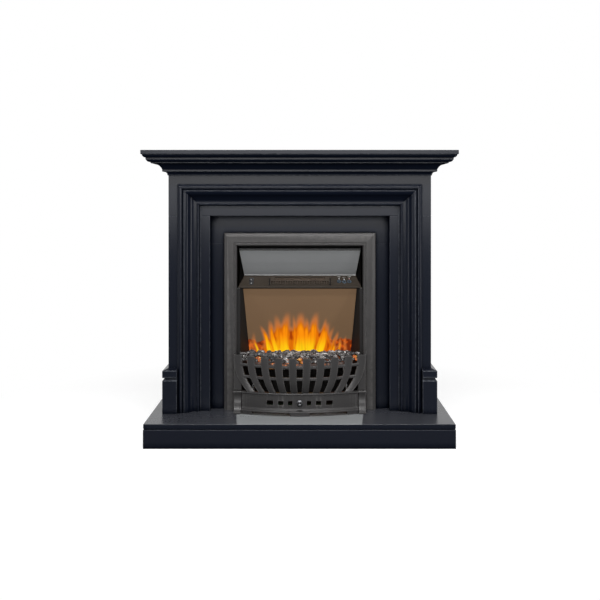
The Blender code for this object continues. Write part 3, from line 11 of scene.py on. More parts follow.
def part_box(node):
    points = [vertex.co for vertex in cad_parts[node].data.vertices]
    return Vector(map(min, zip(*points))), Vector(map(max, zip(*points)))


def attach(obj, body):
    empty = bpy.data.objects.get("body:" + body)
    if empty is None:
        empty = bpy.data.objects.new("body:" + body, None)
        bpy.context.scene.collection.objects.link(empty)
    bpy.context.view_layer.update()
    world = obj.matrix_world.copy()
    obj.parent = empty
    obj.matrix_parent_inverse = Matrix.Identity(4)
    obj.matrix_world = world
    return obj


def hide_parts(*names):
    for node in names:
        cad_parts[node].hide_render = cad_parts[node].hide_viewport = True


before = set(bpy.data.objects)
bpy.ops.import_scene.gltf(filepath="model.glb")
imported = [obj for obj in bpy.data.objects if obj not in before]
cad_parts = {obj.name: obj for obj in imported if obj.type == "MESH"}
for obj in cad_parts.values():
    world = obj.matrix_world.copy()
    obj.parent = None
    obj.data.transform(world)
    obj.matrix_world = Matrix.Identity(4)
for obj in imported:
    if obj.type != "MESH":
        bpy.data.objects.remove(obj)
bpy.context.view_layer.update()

lens = bpy.data.cameras.new("lens")
lens.sensor_width = 36
lens.lens = 47.445
lens.shift_x = -0.0096
lens.shift_y = -0.16167
camera = bpy.data.objects.new("camera", lens)
camera.location = (0.02, -2.69, 0.778)
camera.rotation_euler = (math.radians(90), 0, 0)
bpy.context.scene.collection.objects.link(camera)
bpy.context.scene.camera = camera


# Hearth: a low platform of fibreboard under the mantel and the fire, sprayed with a satin blue-black
# lacquer. The top is a 16 mm board with rounded edges. The fascias below it are mitred at the corners,
# and have a fine chamfer where they meet the top.
def feed(node, **values):
    """Links or sets a node's inputs: named as on it, with _ for a space, or by their number after n.

    A node given as a value stands for its first output.
    """
    for name, value in values.items():
        socket = node.inputs[int(name[1:]) if name[1:].isdigit() else name.replace("_", " ")]
        if isinstance(value, bpy.types.Node):
            value = value.outputs[0]
        if isinstance(value, bpy.types.NodeSocket):
            node.id_data.links.new(value, socket)
        else:
            socket.default_value = (*value, 1) if socket.type == "RGBA" else value
    return node


def put(tree, kind, **values):
    """Adds a shader node to a tree. Values named in small letters are its settings, the others its inputs."""
    made = tree.nodes.new("ShaderNode" + kind)
    for name in [name for name in values if name.islower() and not name[1:].isdigit()]:
        setattr(made, name, values.pop(name))
    return feed(made, **values)


def places(tree):
    return put(tree, "TexCoord").outputs["Object"]


def kept(tree, name, output="Fac"):
    """What an attribute of the piece keeps at each point."""
    return put(tree, "Attribute", attribute_name=name).outputs[output]


def grain(where, scale, detail, **more):
    return put(where.id_data, "TexNoise", Vector=where, Scale=scale, Detail=detail, **more).outputs[0]


def new_effect(name, inputs, outputs):
    """An empty shader node group with named sockets. Gives the tree, its inputs and its outputs."""
    tree = bpy.data.node_groups.new(name, "ShaderNodeTree")
    for direction, sockets in (("INPUT", inputs), ("OUTPUT", outputs)):
        for label, kind in sockets.items():
            tree.interface.new_socket(name=label, in_out=direction, socket_type="NodeSocket" + kind)
    return tree, tree.nodes.new("NodeGroupInput").outputs, tree.nodes.new("NodeGroupOutput").inputs


def spread(value, low, high, to_low=0, to_high=1):
    """Stretches a value between low and high to another range, and stops at its ends."""
    return put(value.id_data, "MapRange", n0=value, n1=low, n2=high, n3=to_low, n4=to_high).outputs[0]


def combine(way, first, second):
    return put(first.id_data, "Math", operation=way, n0=first, n1=second).outputs[0]


def times(first, second):
    return combine("MULTIPLY", first, second)


def blend(share, first, second, way="MIX"):
    tree = (first if share == 1 else share).id_data
    return put(tree, "Mix", data_type="RGBA", blend_type=way, n0=share, n6=first, n7=second).outputs[2]


def new_finish(name):
    """A material, its tree, its shader and the places that its patterns read."""
    finish = bpy.data.materials.new(name)
    finish.use_nodes = True
    tree = finish.node_tree
    return finish, tree, tree.nodes["Principled BSDF"], places(tree)


# Sprayed and cast skins: fine peel over slow waves, and a slow drift of tone
skin_effect, given, made = new_effect(
    "skin", {"Vector": "Vector", "Fineness": "Float"}, {"Ripple": "Float", "Drift": "Float"}
)
peel = grain(given[0], given[1], 3)
slower = times(given[1], 0.12)
waves = grain(given[0], slower, 2)
skin_effect.links.new(combine("ADD", times(waves, 0.5), peel), made[0])
clouds = grain(given[0], 3.1, 5, Roughness=0.6)
skin_effect.links.new(spread(clouds, 0.3, 0.7), made[1])

# Wear and painted highlight on the corners that stick out, a paler colour broken up so that it comes and goes
wear_and_highlight_effect, given, made = new_effect(
    "wear_and_highlight", {"Colour": "Color", "Bare": "Color", "Amount": "Float"}, {"Colour": "Color", "Mask": "Float"}
)
corner = kept(wear_and_highlight_effect, "arris")
place = places(wear_and_highlight_effect)
breaks = grain(place, 85, 4, Roughness=0.7)
breaks = spread(breaks, 0.35, 0.62, 0.25, 1)
wear_and_highlight_mask = times(times(corner, breaks), given[2])
wear_and_highlight_effect.links.new(wear_and_highlight_mask, made[1])
wear_and_highlight_effect.links.new(blend(wear_and_highlight_mask, given[0], given[1]), made[0])

# Dust that settles on what faces up
dust_effect, given, made = new_effect(
    "dust", {"Colour": "Color", "Dust": "Color", "Amount": "Float"}, {"Colour": "Color", "Mask": "Float"}
)
facing = put(dust_effect, "SeparateXYZ", Vector=put(dust_effect, "NewGeometry").outputs["Normal"])
upward = spread(facing.outputs[2], 0.55, 1)
place = places(dust_effect)
specks = grain(place, 230, 6, Roughness=0.75)
film = grain(place, 7, 3)
lying = times(spread(specks, 0.4, 0.7, 0.15, 1), film)
lying = times(times(lying, upward), given[2])
dust_effect.links.new(lying, made[1])
dust_effect.links.new(blend(lying, given[0], given[1]), made[0])

DUST = (0.2, 0.19, 0.18)


def coated(
    name, tone, lift, bare, fineness=1300, depth=0.000012, gloss=(0.42, 0.5), wear_and_highlight=0.3, dust=0.05,
    along=(1, 1, 1), shine=0.5, metallic=0
):
    """A skin of paint, plastic or cast metal.

    The tone drifts from tone to lift and turns to bare on the corners, as wear and painted highlight. gloss
    is the least and the most roughness, along stretches the skin's marks, and shine is how strongly it
    mirrors.
    """
    finish, tree, shader, where = new_finish(name)
    marks = put(tree, "Mapping", Vector=where, Scale=along)
    skin = put(tree, "Group", node_tree=skin_effect, Vector=marks, Fineness=fineness)
    toned = blend(skin.outputs["Drift"], tone, lift)
    worn_and_highlit = put(tree, "Group", node_tree=wear_and_highlight_effect, Colour=toned, Bare=bare, Amount=wear_and_highlight)
    dusted = put(tree, "Group", node_tree=dust_effect, Colour=worn_and_highlit, Dust=DUST, Amount=dust)
    dulled = times(dusted.outputs["Mask"], 0.35)
    sheen = combine("ADD", spread(skin.outputs["Drift"], 0, 1, *gloss), dulled)
    relief = put(tree, "Bump", Strength=1, Distance=depth, Height=skin.outputs["Ripple"])
    feed(shader, Base_Color=dusted, Roughness=sheen, Normal=relief)
    feed(shader, Specular_IOR_Level=shine, Metallic=metallic)
    return finish


def painted_corner_shade(finish, level):
    """Painted shade: corners and recesses, found by ambient occlusion, are painted darker, and they and the
    faces that turn down shine less.
    """
    tree = finish.node_tree
    corner = put(tree, "AmbientOcclusion", samples=6, Distance=0.03).outputs["AO"]
    turned_down = put(tree, "SeparateXYZ", Vector=put(tree, "NewGeometry").outputs["Normal"])
    under = spread(turned_down.outputs[2], -0.3, -0.08, 0, level)
    shaded_shine = times(spread(corner, 0.6, 0.86), under)
    shader = tree.nodes["Principled BSDF"]
    feed(shader, Specular_IOR_Level=shaded_shine)
    painted = shader.inputs["Base Color"].links[0].from_socket
    # Painted shade: near black is blended in where the corners close in
    unshaded_share = spread(corner, 0.5, 0.8, 0.15, 1)
    feed(shader, Base_Color=blend(unshaded_share, (0.0006, 0.0009, 0.002), painted))
    return finish


def lacquer(name, along):
    """Satin blue-black lacquer, with the faint marks of the spray and the flatting along the board, painted
    shade in its corners and recesses, and pale edges that are partly wear and partly painted highlight.
    """
    return painted_corner_shade(coated(
        name, (0.0026, 0.0037, 0.0074), (0.0036, 0.0049, 0.0092), (0.08, 0.086, 0.098),
        fineness=500, depth=0.000002, gloss=(0.17, 0.21), wear_and_highlight=0.5, dust=0.03, along=along,
    ), 0.075)


lacquer_level = lacquer("lacquer_level", (0.08, 1, 1))
lacquer_upright = lacquer("lacquer_upright", (1, 1, 0.08))


def soften(bm, width, rounds=2, above=30):
    """Rounds the edges that turn by more than above degrees, as sanding does before the paint."""
    sharp = [
        edge for edge in bm.edges
        if len(edge.link_faces) == 2 and edge.calc_face_angle() > math.radians(above)
    ]
    bmesh.ops.bevel(
        bm, geom=sharp, offset=width, offset_type="OFFSET", segments=rounds, profile=0.5, affect="EDGES",
        clamp_overlap=True, material=-1,
    )
    return bm


def fit(name, bm, finish, slot, body="surround", node=None, crease=35, even=True):
    """Makes a piece of a bmesh, with its finish, the body it moves with and the node it stands for. Its slot
    only sets how the arris is measured.

    The arris attribute keeps how sharply the surface turns outwards at each point, for the wear and painted
    highlight there. Wide faces get a loop close to their edges first, so that these stop there. Lacquered
    beads get them on their roundings too, and only their long edges count.
    """
    wide_from, loop_in = 0.0045, 0.0012
    wide = [
        face for face in bm.faces if len(face.verts) in (4, 8)
        and face.calc_area() > wide_from * max(edge.calc_length() for edge in face.edges)
    ]
    bmesh.ops.inset_individual(bm, faces=wide, thickness=loop_in, use_even_offset=True)
    arris = bm.verts.layers.float.new("arris")
    least, gain, shortest = (0.2, 5, 0.05) if slot == "lacquer" else (0.36, 6, 0)
    for point in bm.verts:
        edges = [edge for edge in point.link_edges if len(edge.link_faces) == 2]
        long_edges = [edge for edge in edges if edge.calc_length() > shortest]
        turns = [edge.calc_face_angle_signed(0) for edge in long_edges or edges]
        point[arris] = min(max((max(turns, default=0) - least) * gain, 0), 1)
    mesh = bpy.data.meshes.new(name)
    bm.to_mesh(mesh)
    bm.free()
    mesh.materials.append(finish)
    mesh.shade_smooth()
    mesh.set_sharp_from_angle(angle=math.radians(crease))
    piece = bpy.data.objects.new(name, mesh)
    bpy.context.scene.collection.objects.link(piece)
    if even:
        piece.modifiers.new("even_shading", "WEIGHTED_NORMAL").keep_sharp = True
    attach(piece, body)
    if node:
        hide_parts(node)
    return piece


def block(corner, other):
    """A block between two opposite corners."""
    bm = bmesh.new()
    low, high = (Vector(map(end, corner, other)) for end in (min, max))
    bmesh.ops.create_cube(bm, size=1)
    bmesh.ops.scale(bm, vec=high - low, verts=bm.verts)
    bmesh.ops.translate(bm, vec=(low + high) / 2, verts=bm.verts)
    return bm


def board(node, finish, width=0.0012, rounds=3):
    """A board in the place of a node, with its arrises rounded."""
    fit(node + "_board", soften(block(*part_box(node)), width, rounds), finish, "lacquer", node=node)


def loft(stations):
    """A closed form through like outlines, extruded from each one to the next."""
    bm = bmesh.new()
    end = bm.faces.new([bm.verts.new(point) for point in stations[0]])
    for number, outline in enumerate(stations[1:]):
        passed = end
        grown = bmesh.ops.extrude_face_region(bm, geom=[end])["geom"]
        end = next(item for item in grown if isinstance(item, bmesh.types.BMFace))
        if number:
            bmesh.ops.delete(bm, geom=[passed], context="FACES_ONLY")
        for point, place in zip(end.verts, outline):
            point.co = place
    bmesh.ops.recalc_face_normals(bm, faces=bm.faces)
    return bm


def run(outline, route, meets_before=None, meets_after=None, up=(0, 0, 1)):
    """Carries an outline of (out, up) points along a route, mitred at its corners and to its neighbours.

    out lies to the right of the route, seen with up towards the eye.
    """
    up = Vector(up)
    route = [Vector(point) for point in route]
    legs = [(after - before).normalized() for before, after in zip(route, route[1:])]
    coming = [Vector(meets_before) if meets_before else legs[0]] + legs
    going = legs + [Vector(meets_after) if meets_after else legs[-1]]
    stations = []
    for point, before, after in zip(route, coming, going):
        right = before.cross(up) + after.cross(up)
        mitre = right / (1 + before.cross(up).dot(after.cross(up)))
        stations.append([point + mitre * out + up * high for out, high in outline])
    return loft(stations)


def arc(start, end, bulge, steps=8):
    """Points after start up to end, on the arc whose middle lies bulge to the left of the straight line."""
    start, end = Vector(start), Vector(end)
    chord = end - start
    left = Vector((-chord.y, chord.x)).normalized()
    radius = (chord.length_squared / 4 + bulge**2) / (2 * abs(bulge))
    side = math.copysign(1, bulge)
    centre = (start + end) / 2 + left * (bulge - side * radius)
    half_angle = math.asin(min(1, chord.length / (2 * radius)))
    chord.normalize()
    points = []
    for step in range(1, steps + 1):
        angle = half_angle * (2 * step / steps - 1)
        spoke = left * (side * math.cos(angle)) + chord * math.sin(angle)
        points.append(tuple(centre + spoke * radius))
    return points


def outlined(*corners):
    """Points of an outline. A corner may add how far the way to it bulges to its left, and its steps."""
    points = []
    for x, y, *curve in corners:
        points += arc(points[-1], (x, y), *curve) if curve else [(x, y)]
    return points


# The top of the hearth is flatted duller than the rest. Painted reflection: its top face is painted lighter
# than the lacquer elsewhere and pale grey across the middle in front of the fire, while its front edge keeps
# the dark lacquer.
hearth_lacquer_painted_reflection = coated(
    "hearth_lacquer_painted_reflection", (0.02, 0.0215, 0.027), (0.025, 0.0265, 0.032), (0.06, 0.062, 0.068),
    fineness=500, depth=0.000006, gloss=(0.24, 0.3), wear_and_highlight=0.4, dust=0.04, along=(0.08, 1, 1),
    shine=0.35,
)
tree = hearth_lacquer_painted_reflection.node_tree
shader = tree.nodes["Principled BSDF"]
place = put(tree, "SeparateXYZ", Vector=places(tree))
beside = combine("ABSOLUTE", place.outputs[0], 0)
painted_reflection_patch = combine("ADD", beside, times(place.outputs[1], -0.1))
edge_foot, edge_head = 0.0768, 0.0782
face_up = spread(place.outputs[2], edge_foot, edge_head)
painted_reflection_half, painted_reflection_end = 0.215, 0.219
painted_reflection_patch = times(spread(painted_reflection_patch, painted_reflection_half, painted_reflection_end, 1, 0), face_up)
sprayed = shader.inputs["Base Color"].links[0].from_socket
edged = blend(face_up, (0.003, 0.0042, 0.008), sprayed)
# Painted reflection: pale grey across the middle of the top face
painted_reflection_colour = blend(painted_reflection_patch, edged, (0.185, 0.192, 0.196))
feed(shader, Base_Color=painted_reflection_colour, Specular_IOR_Level=spread(face_up, 0, 1, 0.05, 0.35))
board("hearth_top", hearth_lacquer_painted_reflection, width=0.003, rounds=4)
fascia_half, fascia_inner, fascia_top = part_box("hearth_fascia_front")[1]
fascia_board = 0.018
bead = 0.003
fascia_outline = [(0, 0), (fascia_board, 0), (fascia_board, fascia_top - bead)]
fascia_outline += [(fascia_board - bead * 0.9, fascia_top - 0.0003), (0, fascia_top)]
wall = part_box("hearth_top")[1].y


def wrap(stem, kind, outline, half, front, foot, joint, width):
    """Three lengths round the front of the suite and back to the wall, mitred at the corners."""
    for name, route, before, after in (
        ("front", [(joint - half, front, foot), (half - joint, front, foot)], (0, -1, 0), (0, 1, 0)),
        ("left", [(-half, wall, foot), (-half, front + joint, foot)], None, (1, 0, 0)),
        ("right", [(half, front + joint, foot), (half, wall, foot)], (1, 0, 0), None),
    ):
        bm = soften(run(outline, route, before, after), width, above=40)
        fit(f"{stem}_{name}_{kind}", bm, lacquer_level, "lacquer", node=f"{stem}_{name}")


gap = 0.0003
wrap("hearth_fascia", "board", fascia_outline, fascia_half - fascia_board, fascia_inner, 0, gap, 0.0004)
for node in ("hearth_rear_rail", "hearth_batten"):
    board(node, lacquer_level, width=0.001)


# Mantel carcass: header, jambs and side panels of 18 mm fibreboard, butted and glued. The header has an ear
# at each end that comes down to the top of the opening, with a fine joint line where it meets the jamb. All
# are lacquered as the hearth is. A rail across the back stiffens the shelf.
low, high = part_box("frieze_board")
bay_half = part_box("jamb_right")[0].x
bay_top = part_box("slip_top")[1].z + gap
header = [
    (-high.x, low.z), (-bay_half, low.z), (-bay_half, bay_top), (bay_half, bay_top), (bay_half, low.z),
    (high.x, low.z), (high.x, high.z), (-high.x, high.z),
]
bm = soften(loft([[(x, y, z) for x, z in header] for y in (low.y, high.y)]), 0.0008, rounds=3)
fit("header_board", bm, lacquer_level, "lacquer", node="frieze_board")
for side in ("left", "right"):
    board("jamb_" + side, lacquer_upright, width=0.0008)
    board("side_panel_" + side, lacquer_upright, width=0.0008)
board("rear_top_rail", lacquer_level, width=0.001)


# Shelf and cornice: a thin shelf board over a deep run of moulding with an ovolo, a band, a roll, a wide
# hollow, a fillet and a cove. The moulding is milled in lengths and mitred at the front corners.
board("mantel_shelf", lacquer_level, width=0.0014, rounds=3)
cornice_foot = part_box("cornice_front")[0].z
cornice_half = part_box("side_panel_right")[1].x
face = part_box("frieze_board")[0].y
cornice = outlined(
    (0.0003, 0), (0.003, 0), (0.003, 0.003), (0.0165, 0.0123, 0.0033), (0.0179, 0.0123), (0.0179, 0.019),
    (0.05, 0.0385, 0.0064, 12), (0.05, 0.0425), (0.0515, 0.0425), (0.0627, 0.0496, -0.0027),
    (0.064, 0.0496), (0.064, 0.056), (0.074, 0.0662, -0.0029), (0.0003, 0.0662),
)
mitre_gap = 0.0002
wrap("cornice", "moulding", cornice, cornice_half, face, cornice_foot, mitre_gap, 0.0005)


# Moulding round the opening: from outside in a proud bead, a quirk, a second bead, a wide ogee that falls
# away to a rounded lip, and a last quirk against the slip. Milled fibreboard, mitred at the top corners.
frame_half, frame_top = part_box("moulding_top")[1].xz
slip_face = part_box("slip_top")[0].y
floor_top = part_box("moulding_left")[0].z
seat = 0.0243
bolection = outlined(
    (0, seat), (0, 0.0268), (0.0036, 0.029), (0.0125, 0.0312, 0.0012), (0.0132, 0.0306), (0.0164, 0.0252),
    (0.0168, 0.0252), (0.0168, 0.0262), (0.02, 0.028), (0.024, 0.0278, 0.001, 6), (0.037, 0.0189, 0.002),
    (0.062, 0.0068, -0.004, 12), (0.062, 0.0084), (0.0654, 0.0104), (0.0705, 0.004, 0.0014, 6),
    (0.0705, 0.0006), (0.075, 0.0006), (0.075, 0.0003), (0.0203, 0.0003), (0.0203, seat),
)
proud = (0, -1, 0)
under = frame_top - mitre_gap
beside = frame_half - mitre_gap
for name, ends, before, after, finish in (
    ("left", ((-frame_half, floor_top), (-frame_half, under)), None, (1, 0, 0), lacquer_upright),
    ("top", ((-beside, frame_top), (beside, frame_top)), (0, 0, 1), (0, 0, -1), lacquer_level),
    ("right", ((frame_half, under), (frame_half, floor_top)), (1, 0, 0), None, lacquer_upright),
):
    bm = soften(run(bolection, [(x, slip_face, z) for x, z in ends], before, after, proud), 0.0004, above=40)
    fit(f"moulding_{name}_length", bm, finish, "lacquer", node="moulding_" + name)


# Slips and back panel: plain lacquered boards that step back from the moulding to the fire. The top slip
# and the top of the back panel run right across, and the side boards are butted under them.
board("slip_top", lacquer_level, width=0.0009)
board("back_panel_top", lacquer_level, width=0.0007)
for side in ("left", "right"):
    board("slip_" + side, lacquer_upright, width=0.0009)
    board("back_panel_" + side, lacquer_upright, width=0.0007)


# Plinths: blocks wrapped round the feet of the mantel, each with a chamfered top, a sunk neck and a cap
# with rounded noses and a sloped top. Mitred at the front corner and glued to the jamb and side panel.
plinth = [(0.0003, 0), (0.018, 0), (0.018, 0.1095), (0.014, 0.1135), (0.012, 0.1135)]
plinth += [(0.012, 0.1182), (0.0003, 0.1182)]
cap = outlined(
    (0.0003, 0.1185), (0.014, 0.1185), (0.018, 0.1225, -0.0012, 5), (0.018, 0.1415),
    (0.016, 0.1435, -0.0006, 4), (0.0003, 0.1495),
)
SIDES = (("left", -1), ("right", 1))
for name, side in SIDES:
    route = [
        (side * (frame_half + gap), face, floor_top), (side * cornice_half, face, floor_top),
        (side * cornice_half, wall, floor_top),
    ]
    if side < 0:
        route.reverse()
    for part, outline, width in (("plinth_", plinth, 0.0011), ("plinth_cap_", cap, 0.0006)):
        bm = soften(run(outline, route), width, above=38)
        fit(f"{part}{name}_block", bm, lacquer_upright, "lacquer", node=part + name)


# Trim of the fire: one casting on three sides of the opening, with a bevelled outer edge, a flat, a groove
# and a small bead at the opening. Black stove paint over the fine grain of the casting.
cast_black, trim_black = (
    coated(
        name, (0.0165, 0.0158, 0.016), (0.023, 0.0218, 0.0218), (0.12, 0.116, 0.113), fineness=900,
        depth=0.00001, gloss=(0.3, 0.4), wear_and_highlight=0.5, dust=0.06, metallic=0.25, shine=level,
    )
    for name, level in (("cast_black", 0.22), ("trim_black", 0.14))
)
low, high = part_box("trim_frame")
trim_half, trim_head, trim_seat, trim_front = high.x, high.z, high.y, low.y
trim_width = 0.044
trim = outlined(
    (0, 0), (0, 0.0098), (0.0022, 0.013), (0.012, 0.018), (0.032, 0.018), (0.032, 0.015), (0.036, 0.015),
    (0.036, 0.016), (trim_width, 0.014, 0.002, 6), (trim_width, 0),
)
corners = ((-1, floor_top), (-1, trim_head), (1, trim_head), (1, floor_top))
route = [(side * trim_half, trim_seat, z) for side, z in corners]
bm = soften(run(trim, route, up=proud), 0.0007, above=32)
fit("trim_casting", bm, trim_black, "cast_iron", node="trim_frame")
opening_half = trim_half - trim_width


# Casing and cheeks: folded 1.5 mm sheet in matt black heat-proof paint, which gives a fine dry texture. The
# cheeks taper in from the trim to the edges of the screen.
def dress(finish, *nodes):
    """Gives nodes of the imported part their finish."""
    for node in nodes:
        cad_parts[node].material_slots[0].material = finish


stove_paint = coated(
    "stove_paint", (0.0045, 0.0042, 0.0042), (0.0075, 0.007, 0.0068), (0.06, 0.055, 0.05),
    fineness=1500, depth=0.00002, gloss=(0.55, 0.66), wear_and_highlight=0.2, dust=0.08, shine=0.12,
)
dress(stove_paint, "casing", "cheek_left", "cheek_right")
# Painted highlight: a pale grey strip down each side of the screen, as the light caught on the cheeks'
# flanges
rim_painted_highlight = coated(
    "rim_painted_highlight", (0.08, 0.081, 0.084), (0.1, 0.101, 0.104), (0.2, 0.2, 0.2),
    fineness=1500, depth=0.00002, gloss=(0.45, 0.55), wear_and_highlight=0.4, shine=0.2,
)
rim_foot, rim_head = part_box("fret")[1].z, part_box("flame_screen")[1].z
for name, side in SIDES:
    near, deep = side * (opening_half - 0.0013), side * (opening_half - 0.0086)
    bm = soften(block((near, -0.003, rim_foot), (deep, -0.0012, rim_head)), 0.0004)
    fit("casing_rim_" + name, bm, rim_painted_highlight, "casing_paint")


# Hood: a folded plate that leans back over the fire, in satin grey paint with a fine metallic flake, paler on
# its edges as wear and painted highlight. Its top edge is hemmed over a wire, painted darker as painted
# shade, with a black strip under the hem as a painted shadow line. Its foot has a lip painted pale grey as a
# painted highlight, with a small return behind the control strip.
def folded(rows):
    """Sheet through rows of points, from the foot up."""
    bm = bmesh.new()
    across, up = len(rows[0]) - 1, len(rows) - 1
    grid = bmesh.ops.create_grid(bm, x_segments=across, y_segments=up, size=1)["verts"]
    for point in grid:
        point.co = rows[round((point.co.y + 1) / 2 * up)][round((point.co.x + 1) / 2 * across)]
    return bm


def evenly(start, end, steps):
    return [start + (end - start) * step / steps for step in range(steps + 1)]


def points_of(grown):
    """The vertices in what an operator gives back."""
    return [item for item in grown["geom"] if isinstance(item, bmesh.types.BMVert)]


def thicken(bm, thickness):
    """Gives a sheet its thickness, behind the side that it faces."""
    bm.normal_update()
    behind = {
        point.co.to_tuple(6): point.normal * thickness * point.calc_shell_factor() for point in bm.verts
    }
    for point in points_of(bmesh.ops.extrude_face_region(bm, geom=bm.faces[:])):
        point.co = point.co - behind[point.co.to_tuple(6)]
    bmesh.ops.recalc_face_normals(bm, faces=bm.faces)
    return bm


hood_paint = coated(
    "hood_paint", (0.108, 0.111, 0.113), (0.128, 0.131, 0.133), (0.4, 0.4, 0.4),
    gloss=(0.36, 0.44), wear_and_highlight=0.8, metallic=0.45, shine=0.35,
)
# Painted shade: the hem is painted darker than the plate below it
hood_hem_painted_shade = coated(
    "hood_hem_painted_shade", (0.026, 0.0265, 0.027), (0.034, 0.0345, 0.035), (0.1, 0.1, 0.1),
    gloss=(0.4, 0.46), shine=0.12,
)
# Painted highlight: the lip along the foot is painted pale grey
hood_lip_painted_highlight = coated(
    "hood_lip_painted_highlight", (0.19, 0.19, 0.19), (0.23, 0.23, 0.23), (0.3, 0.3, 0.3),
    gloss=(0.4, 0.48), shine=0.1,
)
low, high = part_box("hood_plate")
hood_front, hood_foot, hood_head = low.y, low.z, low.z + 0.0952
hood_half = high.x
hood_foot_half = hood_half - 0.015
rows = [
    [(x, hood_front + back, hood_foot + up) for x in evenly(-half, half, 24)]
    for back, up, half in (
        (0.0455, 0.0008, hood_foot_half), (0.0415, 0.0004, hood_foot_half), (0.0398, 0.0012, hood_foot_half),
        (0.0388, 0.003, hood_foot_half + 0.0003), (0.02, 0.048, hood_half - 0.0073),
        (0.005, 0.088, hood_half - 0.0009), (0.0066, 0.089, hood_half - 0.0007), (0.0068, 0.0946, hood_half),
    )
]
hood_sheet = 0.0012
bm = soften(thicken(folded(rows), hood_sheet), 0.0005, above=50)
fit("hood_panel", bm, hood_paint, "hood_paint", node="hood_plate")


def hood_edge(outline, half, back, foot):
    """A length across the hood with an outline of (out, up) points."""
    return loft([[(x, hood_front + back - out, foot + up) for out, up in outline] for x in (-half, half)])


hem = outlined((-0.003, 0), (-0.003, 0.0042), (0, 0.0042), (0, 0, 0.0026, 10))
fit("hood_hem", hood_edge(hem, hood_half, 0.0038, hood_head - 0.0046), hood_hem_painted_shade, "hood_paint")
# Painted shadow: a black strip under the hem stands in for the shadow line there
shadow_strip_half = hood_half - 0.001
shadow_strip_foot = (-shadow_strip_half, hood_front + 0.0044, hood_head - 0.0072)
shadow_strip_head = (shadow_strip_half, hood_front + 0.006, hood_head - 0.0046)
fit("hood_shadow_strip", block(shadow_strip_foot, shadow_strip_head), stove_paint, "hood_paint")
lip = [(-0.001, 0), (-0.001, 0.002), (0.0002, 0.002), (0.0014, 0.0006), (0.0012, 0)]
fit("hood_lip", hood_edge(lip, hood_foot_half, 0.0386, hood_foot + 0.0006), hood_lip_painted_highlight, "hood_paint")


# Control strip: a sloping folded strip in brown-black satin paint, with cut-outs for the outlet grille, the
# rocker and three buttons. The grille is moulded, with a fine mesh behind its window.
strip_tall, strip_deep = 0.033, 0.04
strip_rise = math.atan2(strip_tall, strip_deep)
strip_foot = hood_foot - gap - strip_tall
slope = Matrix.Translation((0, hood_front, strip_foot)) @ Matrix.Rotation(strip_rise, 4, "X")


def from_slope(bm, move=Matrix.Identity(4)):
    """Moves what lies in the slope's own place and direction to its place in the fire."""
    bmesh.ops.transform(bm, matrix=slope @ move, verts=bm.verts)
    return bm


strip_paint = coated(
    "strip_paint", (0.015, 0.0112, 0.008), (0.02, 0.0152, 0.011), (0.1, 0.08, 0.065), shine=0.12
)
dress(strip_paint, "control_strip")
moulded_black = coated(
    "moulded_black", (0.004, 0.0038, 0.0038), (0.0065, 0.0062, 0.0062), (0.03, 0.03, 0.03),
    fineness=2200, depth=0.00003, gloss=(0.45, 0.58), wear_and_highlight=0.2, dust=0.04, shine=0.02,
)
grille_paint = coated(
    "grille_paint", (0.023, 0.0175, 0.013), (0.031, 0.0235, 0.0175), (0.1, 0.08, 0.065),
    fineness=2200, depth=0.00002, shine=0.12,
)
tree = grille_paint.node_tree
shader = tree.nodes["Principled BSDF"]
# Painted shade: the faces that do not face out of the slope, the walls of the holes and the grille's edges,
# are painted near black and lose their shine
normal = put(tree, "NewGeometry").outputs["Normal"]
out_of_slope = (0, -math.sin(strip_rise), math.cos(strip_rise))
front = put(tree, "VectorMath", operation="DOT_PRODUCT", n0=normal, n1=out_of_slope).outputs["Value"]
front = spread(front, 0.8, 0.95)
painted = blend(front, (0.0015, 0.0012, 0.001), shader.inputs["Base Color"].links[0].from_socket)
feed(shader, Base_Color=painted, Specular_IOR_Level=spread(front, 0, 1, 0, 0.12))
dress(grille_paint, "outlet_grille")
mesh_steel = coated(
    "mesh_steel", (0.02, 0.015, 0.011), (0.036, 0.027, 0.019), (0.12, 0.095, 0.075),
    fineness=2500, depth=0.00002, gloss=(0.38, 0.5), wear_and_highlight=0.6, dust=0.1, metallic=0.6,
)
strands, strand_rows, strand_pitch, row_pitch = 84, 4, 0.00202, 0.0035
wire, length = 0.00033, 0.0036
bm = bmesh.new()
for row in range(strand_rows):
    for step in range(strands):
        rise = 0.0029 if (step + row) % 2 else -0.0029
        tilt = Matrix.Rotation(-math.pi / 2, 4, "X") @ Matrix.Rotation(math.atan2(strand_pitch, rise), 4, "Y")
        across = (step - (strands - 1) / 2) * strand_pitch
        place = Matrix.Translation((across, 0.0292 + row * row_pitch, -0.0007)) @ tilt
        bmesh.ops.create_cone(
            bm, cap_ends=True, segments=5, radius1=wire, radius2=wire, depth=length, matrix=place
        )
fit("window_mesh", from_slope(bm), mesh_steel, "element_metal", even=False)
# Painted shadow: a black block at each end of the grille stands in for the dark gap there
shadow_end_half = 0.0021
for name, side in SIDES:
    end = side * (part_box("outlet_grille")[1].x - shadow_end_half - gap)
    bm = soften(block((end - shadow_end_half, 0.0045, 0), (end + shadow_end_half, 0.04, 0.0016)), 0.0003)
    fit("grille_shadow_end_" + name, from_slope(bm), moulded_black, "black_plastic")


